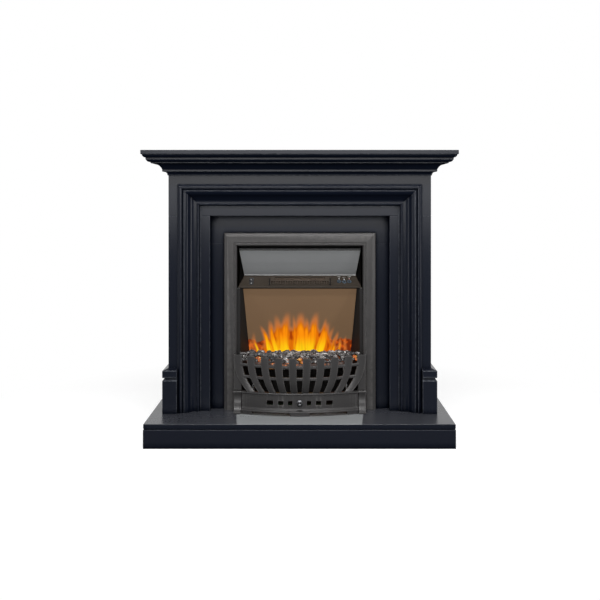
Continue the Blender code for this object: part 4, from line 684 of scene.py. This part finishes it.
# Power rocker and push buttons: glossy moulded caps. The rocker has a bar and a ring inlaid in white for on
# and off. Each button has a lamp above it, and a dash printed over the lamp.
low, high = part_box("power_rocker")
rocker_x = (low.x + high.x) / 2
controls_up = 0.023
rocker_gloss = coated(
    "rocker_gloss", (0.009, 0.009, 0.01), (0.014, 0.014, 0.015), (0.06, 0.06, 0.06),
    fineness=600, depth=0.000006, shine=0.08,
)
printed_white = coated(
    "printed_white", (0.3, 0.3, 0.29), (0.36, 0.36, 0.35), (0.4, 0.4, 0.39),
    fineness=3000, depth=0.000006, gloss=(0.45, 0.6), wear_and_highlight=0.1, dust=0.2,
)
profile = outlined(
    (-0.0138, -0.004), (-0.015, 0.0004), (-0.0138, 0.00176, 0.0005, 4), (0, 0.00044, -0.0006, 6),
    (0.0138, 0.00176, -0.0006, 6), (0.015, 0.0004, 0.0005, 4), (0.0138, -0.004),
)
off_tilt, rocker_half = math.radians(9), 0.0068
pin = Matrix.Translation((rocker_x, controls_up, 0)) @ Matrix.Rotation(off_tilt, 4, "X")
bm = soften(loft([[(x, y, z) for y, z in profile] for x in (-rocker_half, rocker_half)]), 0.0006, above=50)
rocker = "power_rocker"
fit("rocker_cap", from_slope(bm, pin), rocker_gloss, "rocker_plastic", body=rocker, node=rocker)
bm = block((-0.0005, 0.005, 0.0004), (0.0005, 0.0092, 0.001))
ring = bmesh.ops.create_circle(bm, segments=20, radius=0.0021)["verts"]
ring = list({edge for point in ring for edge in point.link_edges})
inner = points_of(bmesh.ops.extrude_edge_only(bm, edges=ring))
bmesh.ops.scale(bm, vec=(0.62, 0.62, 1), verts=inner)
band = [face for face in bm.faces if any(point in inner for point in face.verts)]
raised = points_of(bmesh.ops.extrude_face_region(bm, geom=band))
bmesh.ops.translate(bm, vec=(0, 0, 0.0005), verts=raised)
ring = {point for face in bm.faces for point in face.verts if point.co.length < 0.0024 and point.co.y < 0.004}
bmesh.ops.translate(bm, vec=(0, -0.0072, 0.0005), verts=list(ring))
bmesh.ops.recalc_face_normals(bm, faces=bm.faces)
fit("rocker_marks", from_slope(bm, pin), printed_white, "rocker_plastic", body=rocker, even=False)


def turned(profile, steps=32):
    """Turns (radius, height) points about the upright."""
    bm = bmesh.new()
    points = [bm.verts.new((radius, 0, high)) for radius, high in profile]
    line = points + [bm.edges.new(pair) for pair in zip(points, points[1:])]
    bmesh.ops.spin(bm, geom=line, cent=(0, 0, 0), axis=(0, 0, 1), angle=math.tau, steps=steps, use_merge=True)
    bmesh.ops.remove_doubles(bm, verts=bm.verts, dist=1e-6)
    bmesh.ops.recalc_face_normals(bm, faces=bm.faces)
    return bm


button_gloss, button_ring = (
    coated(*tones, fineness=500, depth=0.000006, gloss=(0.3, 0.38), wear_and_highlight=0.2, dust=0.1, shine=0.3)
    for tones in (
        ("button_gloss", (0.006, 0.0065, 0.0075), (0.009, 0.01, 0.011), (0.05, 0.06, 0.07)),
        ("button_ring", (0.014, 0.028, 0.044), (0.022, 0.042, 0.062), (0.09, 0.13, 0.18)),
    )
)
lamp_tints = ((0.75, 0.78, 0.8), (0.6, 0.62, 0.64), (0.8, 0.42, 0.4))
cap = [(0, 0.0012), (0.003, 0.0013), (0.0044, 0.0014), (0.0044, -0.0068), (0, -0.0068)]
rim = [(0.0046, 0.001), (0.0048, 0.002), (0.0056, 0.0022), (0.0062, 0.002), (0.0065, 0.0013)]
rim += [(0.0065, -0.006), (0.0046, -0.006), (0.0046, 0.001)]
dome = [(0, 0.0012), (0.0008, 0.001), (0.0013, 0.0005), (0.0015, -0.0001), (0, -0.0001)]
for number, tint, up, lamp_up in zip(
    (1, 2, 3), lamp_tints, (controls_up, controls_up - 0.002, controls_up), (0.0362, 0.0335, 0.0362)
):
    button = f"button_{number}"
    low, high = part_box(button)
    x = (low.x + high.x) / 2
    place = Matrix.Translation((x, up, 0))
    for part, outline, skin, node in (("rim", rim, button_ring, None), ("cap", cap, button_gloss, button)):
        bm = from_slope(turned(outline), place)
        fit(f"{button}_{part}", bm, skin, "button_plastic", body=button, node=node, even=False)
    lamp_skin = coated(
        f"lamp_lens_{number}", tint, tint, (0.9, 0.9, 0.9), fineness=900, depth=0.000005, gloss=(0.12, 0.2),
        wear_and_highlight=0.2, dust=0.1,
    )
    bm = from_slope(turned(dome, 14), Matrix.Translation((x, lamp_up, 0)))
    fit(f"button_lamp_{number}", bm, lamp_skin, "button_plastic", even=False)
    dash_up = lamp_up + 0.0092
    bm = from_slope(block((x - 0.0052, dash_up, -0.0001), (x + 0.0052, dash_up + 0.0011, 0.00012)))
    fit(f"button_dash_{number}", bm, printed_white, "strip_paint", even=False)


# Flame screen: 4 mm smoked glass that leans over the coals, brown where it is dark. The light from behind
# paints flames on it: thin tongues that fan out, yellow at the foot and orange at their tips, over the
# red-lit reflections of the coals.
low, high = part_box("flame_screen")
screen_y, screen_half = low.y, high.x
screen_head, screen_foot = high.z, low.z + 0.0013
lean, taper, glass = 0.092, 0.0186, 0.004


def screen_place(z):
    """How far back the screen lies at a height, and half its width there."""
    down = (screen_head - z) / (screen_head - screen_foot)
    return screen_y + lean * down, screen_half - taper * down


def ease(low, high, value):
    share = min(max((value - low) / (high - low), 0), 1)
    return share * share * (3 - 2 * share)


# Each tongue: where its tip and its foot are, how high it reaches, how wide it is and how bright
tongues = (
    (-0.1573, -0.148, 0.302, 0.0048, 0.9), (-0.163, -0.16, 0.325, 0.007, 0.28),
    (-0.133, -0.103, 0.347, 0.0078, 1), (-0.118, -0.096, 0.318, 0.0075, 0.7),
    (-0.105, -0.084, 0.366, 0.0095, 0.95), (-0.0815, -0.074, 0.384, 0.012, 0.72),
    (-0.068, -0.064, 0.35, 0.01, 0.85), (-0.044, -0.056, 0.393, 0.015, 0.86),
    (-0.06, -0.045, 0.356, 0.013, 0.9), (-0.02, -0.019, 0.384, 0.0062, 0.7),
    (0.0035, 0.005, 0.393, 0.0165, 0.95), (0.0215, 0.027, 0.374, 0.0085, 1),
    (-0.004, -0.008, 0.352, 0.01, 0.9), (0.057, 0.035, 0.393, 0.014, 0.92), (0.042, 0.029, 0.352, 0.01, 1),
    (0.0887, 0.06, 0.372, 0.0075, 0.8), (0.096, 0.068, 0.358, 0.0135, 1), (0.114, 0.09, 0.344, 0.007, 0.5),
    (0.13, 0.106, 0.328, 0.007, 0.62),
    (0.142, 0.132, 0.308, 0.0055, 0.7), (0.1594, 0.156, 0.314, 0.005, 0.35),
    (-0.175, -0.173, 0.298, 0.0042, 0.55), (0.12, 0.114, 0.29, 0.006, 0.7),
)
flame_foot = 0.246


def ripple(x, y, z):
    return noise.noise(Vector((x, y, z)))


def flame(x, z):
    """How strongly the flames show at a place on the screen, and how much of a tongue's core is there."""
    dark, core = 1, 0
    for number, (tip, foot, reach, width, bright) in enumerate(tongues):
        share = (z - flame_foot) / (reach - flame_foot)
        if share > 1.15 or share < -0.2:
            continue
        sway = 0.002 * math.sin(6 * share + number * 1.9)
        middle = foot + (tip - foot) * max(share, 0) ** 1.2 + sway
        half = width * (0.4 + 0.95 * max(1 - share / 1.15, 0) ** 0.6)
        across = abs(x - middle) / half
        strength = math.exp(-(across**2.6)) * bright * ease(1.12, 0.62, share)
        dark *= 1 - min(strength, 0.97)
        core = max(core, strength)
    sea_top = 0.336 + 0.02 * ripple(x * 48, 0, 6) - 1.3 * max(abs(x + 0.004) - 0.076, 0)
    dark *= 1 - 0.9 * ease(sea_top + 0.018, sea_top - 0.018, z)
    streaks = 1 + 0.22 * ripple(x * 150, z * 20, 3.1)
    return min((1 - dark) * streaks, 1), core


def embers_behind(x, z):
    """Reflections of the coals low on the screen: strength, and how hot they are."""
    crown = 0.3015 + 0.02 * x + 0.01 * ripple(x * 38, 0, 9)
    crown += 0.006 * ripple(x * 110, 4, 1)
    shown = ease(crown + 0.003, crown - 0.004, z)
    lumps = ripple(x * 62, z * 70, 5) + 0.45 * ripple(x * 160, z * 170, 2)
    return shown, ease(-0.35, 0.6, lumps)


bm = folded([
    [(x, y, z) for x in evenly(-half, half, 220)]
    for z in evenly(screen_foot, screen_head, 170) for y, half in [screen_place(z)]
])
painted_light = bm.verts.layers.float_color.new("painted_light")
flame_cover = bm.verts.layers.float.new("flame_cover")
for point in bm.verts:
    x, z = point.co.x, point.co.z
    strength, core = flame(x, z)
    shown, heat = embers_behind(x, z)
    hot = ease(0.322, 0.262, z) * ease(0.5, 0.95, core)
    body = Vector((0.76, 0.165, 0.001)).lerp(Vector((1, 0.29, 0.002)), ease(0.45, 1, core))
    body = body.lerp(Vector((1, 0.62, 0.006)), hot)
    smoulder = ease(0.02, 0.45, ripple(x * 80, z * 34, 8)) * ease(0.85, 0.35, core)
    body = body.lerp(Vector((0.42, 0.05, 0.001)), smoulder * ease(0.345, 0.325, z))
    veil = Vector((1, 0.29, 0.055))
    light = veil.lerp(body, ease(0.25, 0.85, strength)) * strength
    under = Vector((0.17, 0.018, 0.001)).lerp(Vector((0.55, 0.075, 0.002)), heat**1.6)
    light = light + under * shown * (1 - min(strength * 1.1, 1))
    point[painted_light] = (*light, 1)
    point[flame_cover] = max(min(strength * 1.25, 1), shown * 0.95)
thicken(bm, glass)
seal_half = screen_half + 0.002
seal_foot, seal_head = screen_head - 0.0026, screen_head + 0.0036
seal = block((-seal_half, screen_y - 0.0042, seal_foot), (seal_half, screen_y - 0.0006, seal_head))
fit("screen_seal", soften(seal, 0.0008), moulded_black, "black_plastic")
smoked_glass, tree, shader, where = new_finish("smoked_glass")
skin = put(tree, "Group", node_tree=skin_effect, Vector=where, Fineness=60)
smoke = blend(skin.outputs["Drift"], (0.078, 0.048, 0.027), (0.086, 0.053, 0.029))
light = kept(tree, "painted_light", "Color")
cover = kept(tree, "flame_cover")
lit_smoke = blend(cover, (0.064, 0.039, 0.022), (0, 0, 0))
feed(
    shader, Base_Color=blend(cover, smoke, (0.004, 0.002, 0.001)), Specular_IOR_Level=0.06,
    Roughness=spread(skin.outputs["Drift"], 0, 1, 0.3, 0.36), Emission_Strength=1,
    Emission_Color=blend(1, light, lit_smoke, "ADD"),
)
fit("smoked_screen", bm, smoked_glass, "smoked_glass", node="flame_screen", even=False)


# Bed of coals: cast resin lumps on a moulded tray, painted charcoal and dusted with pale ash. Light from
# below glows orange through the tray between them.
low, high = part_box("ember_bed")
bed_half, tray_top = high.x, low.z + 0.018


def bow(x, half, rise):
    radius = (half**2 + rise**2) / (2 * rise)
    return math.sqrt(max(radius**2 - x**2, 0)) - (radius - rise)


stile_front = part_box("leg_right")[0].y + 0.02
bar_count, bar_half, bar_pitch_top, bar_pitch_foot = 10, opening_half + 0.0065, 0.046, 0.035
fret_bow = 0.068


def bed_front(x):
    return stile_front - bow(x, bar_half - 0.0125, fret_bow) + 0.015


# In the nine gaps between the bars lie, from the left: grey, glowing, dark, white, glowing, grey, dark, grey
# and glowing lumps. Each kind is how pale and how hot a lump is.
dice = random.Random(23)
GREY, GLOWING, DARK, WHITE = (0.45, 0), (0.1, 1), (0.12, 0), (1, 0)
lumps = []
for gap_number, kind in enumerate((GREY, GLOWING, DARK, WHITE, GLOWING, GREY, DARK, GREY, GLOWING)):
    middle = (gap_number - 4) * bar_pitch_top
    y = bed_front(middle) + 0.0085
    for side, up, look in (
        (-0.007, -0.004, DARK), (0.007, -0.003, kind), (0.001, 0.0055, kind), (-0.006, 0.016, DARK),
        (0.007, 0.018, GREY),
    ):
        lumps.append((
            middle + side + dice.uniform(-0.002, 0.002), y + dice.uniform(-0.001, 0.002),
            dice.uniform(0.0066, 0.0086), up + dice.uniform(-0.0015, 0.0015), look,
        ))
for depth, count, lift in (
    (0.06, 15, 0.012), (0.17, 14, 0.011), (0.3, 14, 0.01), (0.44, 13, 0.009), (0.58, 13, 0.006),
    (0.72, 12, 0.003), (0.86, 12, 0),
):
    for place in range(count):
        x = (place - (count - 1) / 2) * (2 * bed_half - 0.026) / (count - 1) + dice.uniform(-0.004, 0.004)
        back = screen_place(tray_top + 0.02)[0] - 0.004
        y = bed_front(x) + 0.01 + (back - bed_front(x) - 0.022) * depth + dice.uniform(-0.004, 0.004)
        look = dice.choice((DARK, DARK, GREY, GREY, WHITE)) if depth > 0.1 else dice.choice((DARK, GREY))
        lumps.append((x, y, dice.uniform(0.0088, 0.0128), lift + dice.uniform(-0.004, 0.003), look))
nested = tray_top + 0.0062
bm = bmesh.new()
ash = bm.verts.layers.float.new("ash")
warmth = bm.verts.layers.float.new("warmth")
for number, (x, y, size, lift, (paleness, heat)) in enumerate(lumps):
    lump = bmesh.ops.create_icosphere(bm, subdivisions=3, radius=1)["verts"]
    turn = Matrix.Rotation(dice.uniform(0, 6.3), 3, "Z") @ Matrix.Rotation(dice.uniform(0, 6.3), 3, "X")
    shape = Vector((dice.uniform(0.9, 1.3), dice.uniform(0.85, 1.1), dice.uniform(0.7, 0.95)))
    for point in lump:
        way = point.co.normalized()
        chips = noise.voronoi(way * 1.7 + Vector((number * 3.7, 0, 0)))[0]
        broken = 0.78 + 0.46 * (chips[1] - chips[0]) + 0.22 * noise.noise(way * 3.4 + Vector((number, 2, 0)))
        point.co = Vector((x, y, nested + lift)) + turn @ (way * broken) * shape * size
        point.co.z = min(point.co.z, high.z)
        point[ash] = paleness + 0.2 * way.z
        point[warmth] = heat
bmesh.ops.recalc_face_normals(bm, faces=bm.faces)
charcoal, tree, shader, where = new_finish("charcoal")
ashes = kept(tree, "ash")
warm = kept(tree, "warmth")
speck = grain(where, 310, 5, Roughness=0.7)
patch = grain(where, 130, 3)
crack = put(tree, "TexVoronoi", feature="DISTANCE_TO_EDGE", Vector=where, Scale=210).outputs["Distance"]
crack = spread(crack, 0.02, 0.16)
crumbs = combine("ADD", times(speck, 0.65), times(patch, 0.35))
ash_mask = spread(combine("ADD", crumbs, times(ashes, 0.2)), 0.585, 0.65)
ash_mask = times(ash_mask, crack)
burnt = blend(patch, (0.004, 0.0037, 0.004), (0.034, 0.031, 0.031))
heat = times(warm, spread(speck, 0.42, 0.56))
fiery = blend(spread(patch, 0.46, 0.62), (0.8, 0.14, 0.006), (1, 0.52, 0.06))
crumble = put(tree, "Bump", Strength=0.9, Distance=0.0012, Height=speck)
feed(
    shader, Base_Color=blend(ash_mask, burnt, (0.46, 0.435, 0.42)), Normal=crumble,
    Roughness=spread(ash_mask, 0, 1, 0.62, 0.92), Emission_Color=blend(heat, (0, 0, 0), fiery),
    Emission_Strength=1,
)
fit("coal_lumps", bm, charcoal, "ember_resin", node="ember_bed", even=False, crease=60)

back = screen_place(tray_top)[0] - 0.004
bm = folded([
    [(x, bed_front(x) + (back - bed_front(x)) * depth, tray_top) for x in evenly(-bed_half, bed_half, 80)]
    for depth in evenly(0, 1, 24)
])
for point in bm.verts:
    point.co.z += 0.0022 * noise.noise(point.co * 95) - 0.002
tray_board = 0.014
thicken(bm, tray_board)
tray_glow, tree, shader, where = new_finish("tray_glow")
flicker = spread(grain(where, 70, 4, Distortion=0.6), 0.56, 0.7)
feed(
    shader, Base_Color=blend(flicker, (0.03, 0.02, 0.016), (0.3, 0.12, 0.03)),
    Roughness=spread(flicker, 0, 1, 0.5, 0.7), Emission_Strength=1,
    Emission_Color=blend(flicker, (0.01, 0.001, 0), (0.6, 0.12, 0.006)),
)
fit("coal_tray", bm, tray_glow, "ember_resin", even=False)


# Fret: a bowed casting in front of the coals. Ten bars sweep down and inwards from its open top to a bead
# ledge, over two rails behind them, between two stiles that hook over the legs.
ledge_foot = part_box("ash_cover")[1].z + gap
ledge_top = ledge_foot + 0.008
fret_top = ledge_top + 0.1182
bar_reach = 0.1222


cover_bow = 0.044
last_bar = (bar_count - 1) / 2


def cover_y(x):
    """Front of the ash-pit cover and of the ledge over it."""
    return stile_front - bow(x, bar_half, cover_bow)


def bowed_route(foot, start, end, steps=48):
    return [(x, cover_y(x), foot) for x in evenly(start, end, steps)]


def join_in(bm, part):
    """Adds a part to the rest of its piece."""
    mesh = bpy.data.meshes.new("part")
    part.to_mesh(mesh)
    part.free()
    bm.from_mesh(mesh)
    bpy.data.meshes.remove(mesh)


def fret_point(place, share):
    """Front of the fret: place bars from the middle, and share of the way down."""
    bend = share**2.5
    x, foot_x = place * bar_pitch_top, place * bar_pitch_foot
    top = Vector((x, stile_front - bow(x, last_bar * bar_pitch_top, fret_bow), 0))
    foot = Vector((foot_x, cover_y(foot_x) + 0.003, 0))
    return top.lerp(foot, bend) + Vector((0, 0, fret_top - share * bar_reach))


bar = [(-1, -0.006), (-1, -0.0014), (-0.93, -0.0004), (-0.5, 0.0005), (0, 0.0008)]
bar += [(-side, deep) for side, deep in reversed(bar[:4])]
bm = bmesh.new()
for number in range(bar_count):
    place = number - last_bar
    stations = []
    for share in evenly(0, 1, 20):
        middle = fret_point(place, share)
        along = (fret_point(place + 0.05, share) - fret_point(place - 0.05, share)).normalized()
        along = (along * 0.35 + Vector((0.65, 0, 0))).normalized()
        down = fret_point(place, min(share + 0.03, 1)) - fret_point(place, max(share - 0.03, 0))
        out = along.cross(down.normalized()).normalized()
        if out.y > 0:
            out = -out
        out = (out + Vector((0, -0.6, 0))).normalized()
        half = (0.026 - 0.004 * share) / 2 * (1.2 if abs(place) > 4 else 1)
        stations.append([middle + along * (side * half) + out * deep for side, deep in bar])
    join_in(bm, soften(loft(stations), 0.0007, above=50))
rail = ((0.006, -0.005), (0, -0.005), (-0.001, -0.003), (-0.001, 0.003), (0, 0.005), (0.006, 0.005))
for drop in (0.031, 0.07):
    points = [fret_point(place, drop / bar_reach) for place in evenly(-last_bar, last_bar, 72)]
    stations = [[point + Vector((0, 0.0042 + deep, high)) for deep, high in rail] for point in points]
    join_in(bm, soften(loft(stations), 0.0006, above=50))
fit("fret_bars", bm, cast_black, "cast_iron", node="fret")

ledge_half = bar_half - 0.0273
ledge = outlined((-0.012, 0), (0.001, 0), (0.001, 0.008, -0.0034, 10), (-0.012, 0.008))
bm = soften(run(ledge, bowed_route(ledge_foot, -ledge_half, ledge_half)), 0.0004, above=60)
fit("fret_ledge", bm, cast_black, "cast_iron")
stile_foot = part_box("leg_right")[1].z + gap
stile_head = stile_foot + 0.117
for name, side in SIDES:
    outer, inner, flange = (side * (bar_half - width) for width in (0, 0.025, 0.006))
    hook = block((outer, stile_front + 0.009, stile_foot), (flange, trim_front - gap, stile_head))
    bm = soften(hook, 0.0012)
    strip = block((outer, stile_front + 0.006, stile_foot), (inner, stile_front + 0.012, stile_head))
    join_in(bm, soften(strip, 0.0016, rounds=3))
    fit("fret_stile_" + name, bm, cast_black, "cast_iron")


# Legs: console castings under the stiles, with a small capital at the top and a toe that kicks forward.
leg_width = 0.024
for name, side in SIDES:
    low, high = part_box("leg_" + name)
    toe, neck = low.y, high.z - 0.008
    outline = outlined(
        (high.y, low.z), (toe, low.z), (toe, low.z + 0.006), (stile_front + 0.003, neck, -0.009, 14),
        (high.y, neck),
    )
    sides = (side * bar_half, side * (bar_half - leg_width))
    bm = soften(loft([[(x, y, z) for y, z in outline] for x in sides]), 0.0016, rounds=3, above=40)
    fit("leg_console_" + name, bm, cast_black, "cast_iron", node="leg_" + name)
    bm = soften(block((low.x, stile_front - 0.003, neck - gap), high), 0.0022, rounds=3)
    fit("leg_capital_" + name, bm, cast_black, "cast_iron")


# Ash-pit cover: a bowed casting under the ledge that pulls off forwards, with three square vents each side
# of a turned steel knob, a moulding along its foot and two gaps under that.
low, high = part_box("ash_cover")
cover_half, cover_foot, cover_head = high.x, low.z, high.z
vents = ((0.0306, 0.0137, 0.0147), (0.062, 0.017, 0.014), (0.098, 0.021, 0.015))
vent_up = cover_foot + 0.0425
columns = set(evenly(-cover_half, cover_half, 40))
for x, width, tall in vents:
    columns |= {side * (x + edge * width / 2) for side in (-1, 1) for edge in (-1, 1)}
columns = sorted(columns)
columns = [x for number, x in enumerate(columns) if number == 0 or x - columns[number - 1] > 0.0012]
heights = [cover_foot + 0.024] + [vent_up + edge for edge in (-0.0075, -0.007, 0.007, 0.0075)] + [cover_head]
bm = folded([[(x, 0, z) for x in columns] for z in heights])
holes = []
for face in bm.faces:
    middle = face.calc_center_median()
    for x, width, tall in vents:
        if abs(abs(middle.x) - x) < width / 2 and abs(middle.z - vent_up) < tall / 2:
            holes.append(face)
bmesh.ops.delete(bm, geom=holes, context="FACES")
cover_wall = 0.006
soften(thicken(bm, cover_wall), 0.0008, above=50)
for point in bm.verts:
    point.co.y += cover_y(point.co.x)
foot_moulding = outlined(
    (-0.006, 0.011), (0.0035, 0.011), (0.0068, 0.0114), (0.0048, 0.017, -0.0012, 5),
    (0, 0.0242, 0.0012, 6), (-0.006, 0.0242),
)
moulded = run(foot_moulding, bowed_route(cover_foot, -cover_half, cover_half))
join_in(bm, soften(moulded, 0.0005, above=50))
pad = [(-0.006, 0), (0.0035, 0), (0.0035, 0.0112), (-0.006, 0.0112)]
pad_end, pad_middle = cover_half - 0.036, 0.032
for start, end in ((-cover_half, -pad_end), (-pad_middle, pad_middle), (pad_end, cover_half)):
    join_in(bm, soften(run(pad, bowed_route(cover_foot, start, end, 12)), 0.0008, above=50))
fit("ash_cover_casting", bm, cast_black, "cast_iron", body="ash_cover", node="ash_cover")


def metal(name, tone, lift, gloss, scratch, along):
    """Bare metal: polishing marks along one direction, and a slow change in the polish."""
    finish, tree, shader, where = new_finish(name)
    marks = grain(put(tree, "Mapping", Vector=where, Scale=along), 900, 4)
    wear = grain(where, 45, 4)
    toned = blend(wear, tone, lift)
    dusted = put(tree, "Group", node_tree=dust_effect, Colour=toned, Dust=DUST, Amount=0.2)
    relief = put(tree, "Bump", Strength=1, Distance=scratch, Height=marks)
    sheen = spread(times(marks, wear), 0.1, 0.4, *gloss)
    feed(shader, Base_Color=dusted, Roughness=sheen, Normal=relief, Metallic=1)
    return finish


turning = (1, 0.2, 1)
dark_steel = metal("dark_steel", (0.036, 0.036, 0.038), (0.06, 0.06, 0.063), (0.2, 0.3), 0.000004, turning)
bright_steel = metal("bright_steel", (0.5, 0.5, 0.51), (0.62, 0.62, 0.63), (0.12, 0.26), 0.000004, turning)
knob_low, knob_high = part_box("ash_knob")
ball = (
    (0, 0.017), (0.0024, 0.01665), (0.0047, 0.0158), (0.0067, 0.01415), (0.0082, 0.0122),
    (0.0092, 0.0098), (0.0095, 0.0075), (0.0092, 0.0053), (0.0082, 0.003), (0.0067, 0.0012),
    (0.0049, -0.0004), (0.0038, -0.0014),
)
knob = [(radius * 0.86, high + 0.01) for radius, high in ball]
knob += [(0.0033, 0.0036), (0.0046, 0.0028), (0.0088, 0.0025), (0.0104, 0.0019), (0.011, 0.001)]
knob += [(0.011, gap), (0, gap)]
bm = turned(knob, 40)
reach = max(point.co.z for point in bm.verts)
squeeze = (knob_high.y - knob_low.y - gap) / (reach - gap)
place = Matrix.Translation((0, knob_high.y + gap, vent_up)) @ Matrix.Rotation(math.pi / 2, 4, "X")
bmesh.ops.transform(bm, matrix=place @ Matrix.Diagonal((1, 1, squeeze, 1)), verts=bm.verts)
fit("knob_turning", bm, dark_steel, "bright_steel", body="ash_cover", node="ash_knob", even=False)


# Inside, behind the strip and the screen: a fan heater in galvanised sheet with a moulded wheel and a finned
# element, a spindle of bright paddles with its motor, a lamp board under the coals, and a control board.
galvanised, tree, shader, where = new_finish("galvanised_sheet")
spangle = put(tree, "TexVoronoi", Vector=where, Scale=95)
flat = put(tree, "SeparateColor", Color=spangle.outputs["Color"]).outputs[0]
zinc = blend(flat, (0.36, 0.37, 0.38), (0.5, 0.51, 0.52))
dusted = put(tree, "Group", node_tree=dust_effect, Colour=zinc, Dust=DUST, Amount=0.5)
relief = put(tree, "Bump", Strength=0.4, Distance=0.0001, Height=spangle.outputs["Distance"])
feed(
    shader, Base_Color=dusted, Roughness=spread(flat, 0, 1, 0.32, 0.5), Normal=relief,
    Metallic=0.9,
)
dress(galvanised, "wall_bracket_left", "wall_bracket_right", "bed_support", "spindle_motor")
# Painted shade: the blower housing is painted black, so that the inside of the heater looks dark behind the
# grille
dress(stove_paint, "blower_housing")
dress(moulded_black, "fan_wheel", "spindle_bearing", "cable_gland")
low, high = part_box("cable_gland")
place = Matrix.Translation((low + high) / 2) @ Matrix.Rotation(math.pi / 2, 4, "X")
bm = bmesh.new()
bung = 0.0052
bmesh.ops.create_cone(bm, cap_ends=True, segments=24, radius1=bung, radius2=bung, depth=0.004, matrix=place)
fit("gland_bung", bm, moulded_black, "black_plastic", even=False)
dress(bright_steel, "fan_motor", "flame_spindle")
element_metal = metal(
    "element_metal", (0.05, 0.036, 0.026), (0.085, 0.062, 0.048), (0.3, 0.5), 0.00001, (1, 1, 0.1)
)
dress(element_metal, "heating_element")

circuit_green, tree, shader, where = new_finish("circuit_green")
tracks = put(
    tree, "TexBrick", Vector=where, Color1=(0, 0, 0), Color2=(0.25, 0.25, 0.25),
    Mortar=(1, 1, 1), Scale=160, Mortar_Size=0.05, Brick_Width=1.3, Row_Height=0.45,
)
copper = put(tree, "SeparateColor", Color=tracks.outputs["Color"]).outputs[0]
pads = put(tree, "TexVoronoi", Vector=where, Scale=260).outputs["Distance"]
pads = spread(pads, 0.16, 0.22, 1, 0)
masked = blend(copper, (0.005, 0.03, 0.015), (0.012, 0.06, 0.03))
pad_colour = blend(pads, masked, (0.6, 0.58, 0.52))
feed(shader, Base_Color=pad_colour, Roughness=spread(pads, 0, 1, 0.38, 0.25), Metallic=pads)
dress(circuit_green, "control_board", "lamp_board")


# Pale floor and plain soft light: a wide softbox overhead, a broad one in front, two tall ones at the sides,
# and a pale world. The camera, and what mirrors, sees the background white.
def seen_white(tree):
    """1 for rays that show the background: from the camera, and mirrored or passed through."""
    ray = put(tree, "LightPath").outputs
    seen = combine("MAXIMUM", ray["Is Camera Ray"], ray["Is Glossy Ray"])
    return combine("MAXIMUM", seen, ray["Is Transmission Ray"])


floor_paper, tree, shader, where = new_finish("floor_paper")
tree.nodes.remove(shader)
fibre = grain(where, 40, 4)
paper_colour = blend(fibre, (0.34, 0.34, 0.34), (0.36, 0.36, 0.36))
matt = put(tree, "BsdfDiffuse", Color=paper_colour)
glow = put(tree, "Emission", Color=(1, 1, 1), Strength=0.76)
near = put(tree, "AddShader", n0=matt, n1=glow)
far = put(tree, "Emission", Color=(1, 1, 1), Strength=1)
away = put(tree, "VectorMath", operation="LENGTH", Vector=where).outputs["Value"]
fade = spread(away, 0.7, 1.3)
shown = put(tree, "MixShader", n0=fade, n1=near, n2=far)
unseen = put(tree, "BsdfDiffuse", Color=(0.1, 0.1, 0.1))
either = put(tree, "MixShader", n0=seen_white(tree), n1=unseen, n2=shown)
feed(tree.nodes["Material Output"], Surface=either)
bm = bmesh.new()
bmesh.ops.create_grid(bm, x_segments=2, y_segments=2, size=9)
mesh = bpy.data.meshes.new("floor")
bm.to_mesh(mesh)
bm.free()
mesh.materials.append(floor_paper)
floor = bpy.data.objects.new("floor", mesh)
bpy.context.scene.collection.objects.link(floor)

world = bpy.data.worlds.new("studio")
bpy.context.scene.world = world
world.use_nodes = True
tree = world.node_tree
air = put(tree, "Background", Color=(0.97, 0.985, 1), Strength=0.1)
white = put(tree, "Background", Color=(1, 1, 1), Strength=1)
either = put(tree, "MixShader", n0=seen_white(tree), n1=air, n2=white)
feed(tree.nodes["World Output"], Surface=either)


def softbox(name, place, aim, width, height, power):
    lamp = bpy.data.lights.new(name, "AREA")
    lamp.shape = "RECTANGLE"
    lamp.size = width
    lamp.size_y = height
    lamp.energy = power
    holder = bpy.data.objects.new(name, lamp)
    holder.location = place
    holder.rotation_euler = (Vector(aim) - Vector(place)).to_track_quat("-Z", "Y").to_euler()
    bpy.context.scene.collection.objects.link(holder)


softbox("overhead_softbox", (0, -1.25, 2.35), (0, -0.1, 0.5), 1.8, 0.2, 62)
softbox("front_softbox", (0, -2.95, 1.03), (0, 0, 0.75), 2.3, 0.8, 70)
softbox("left_softbox", (-2.3, -1.3, 0.85), (0.1, 0, 0.6), 0.3, 1.5, 20)
softbox("right_softbox", (2.3, -1.3, 0.85), (-0.1, 0, 0.6), 0.3, 1.5, 34)

bpy.context.scene.view_settings.view_transform = "Standard"
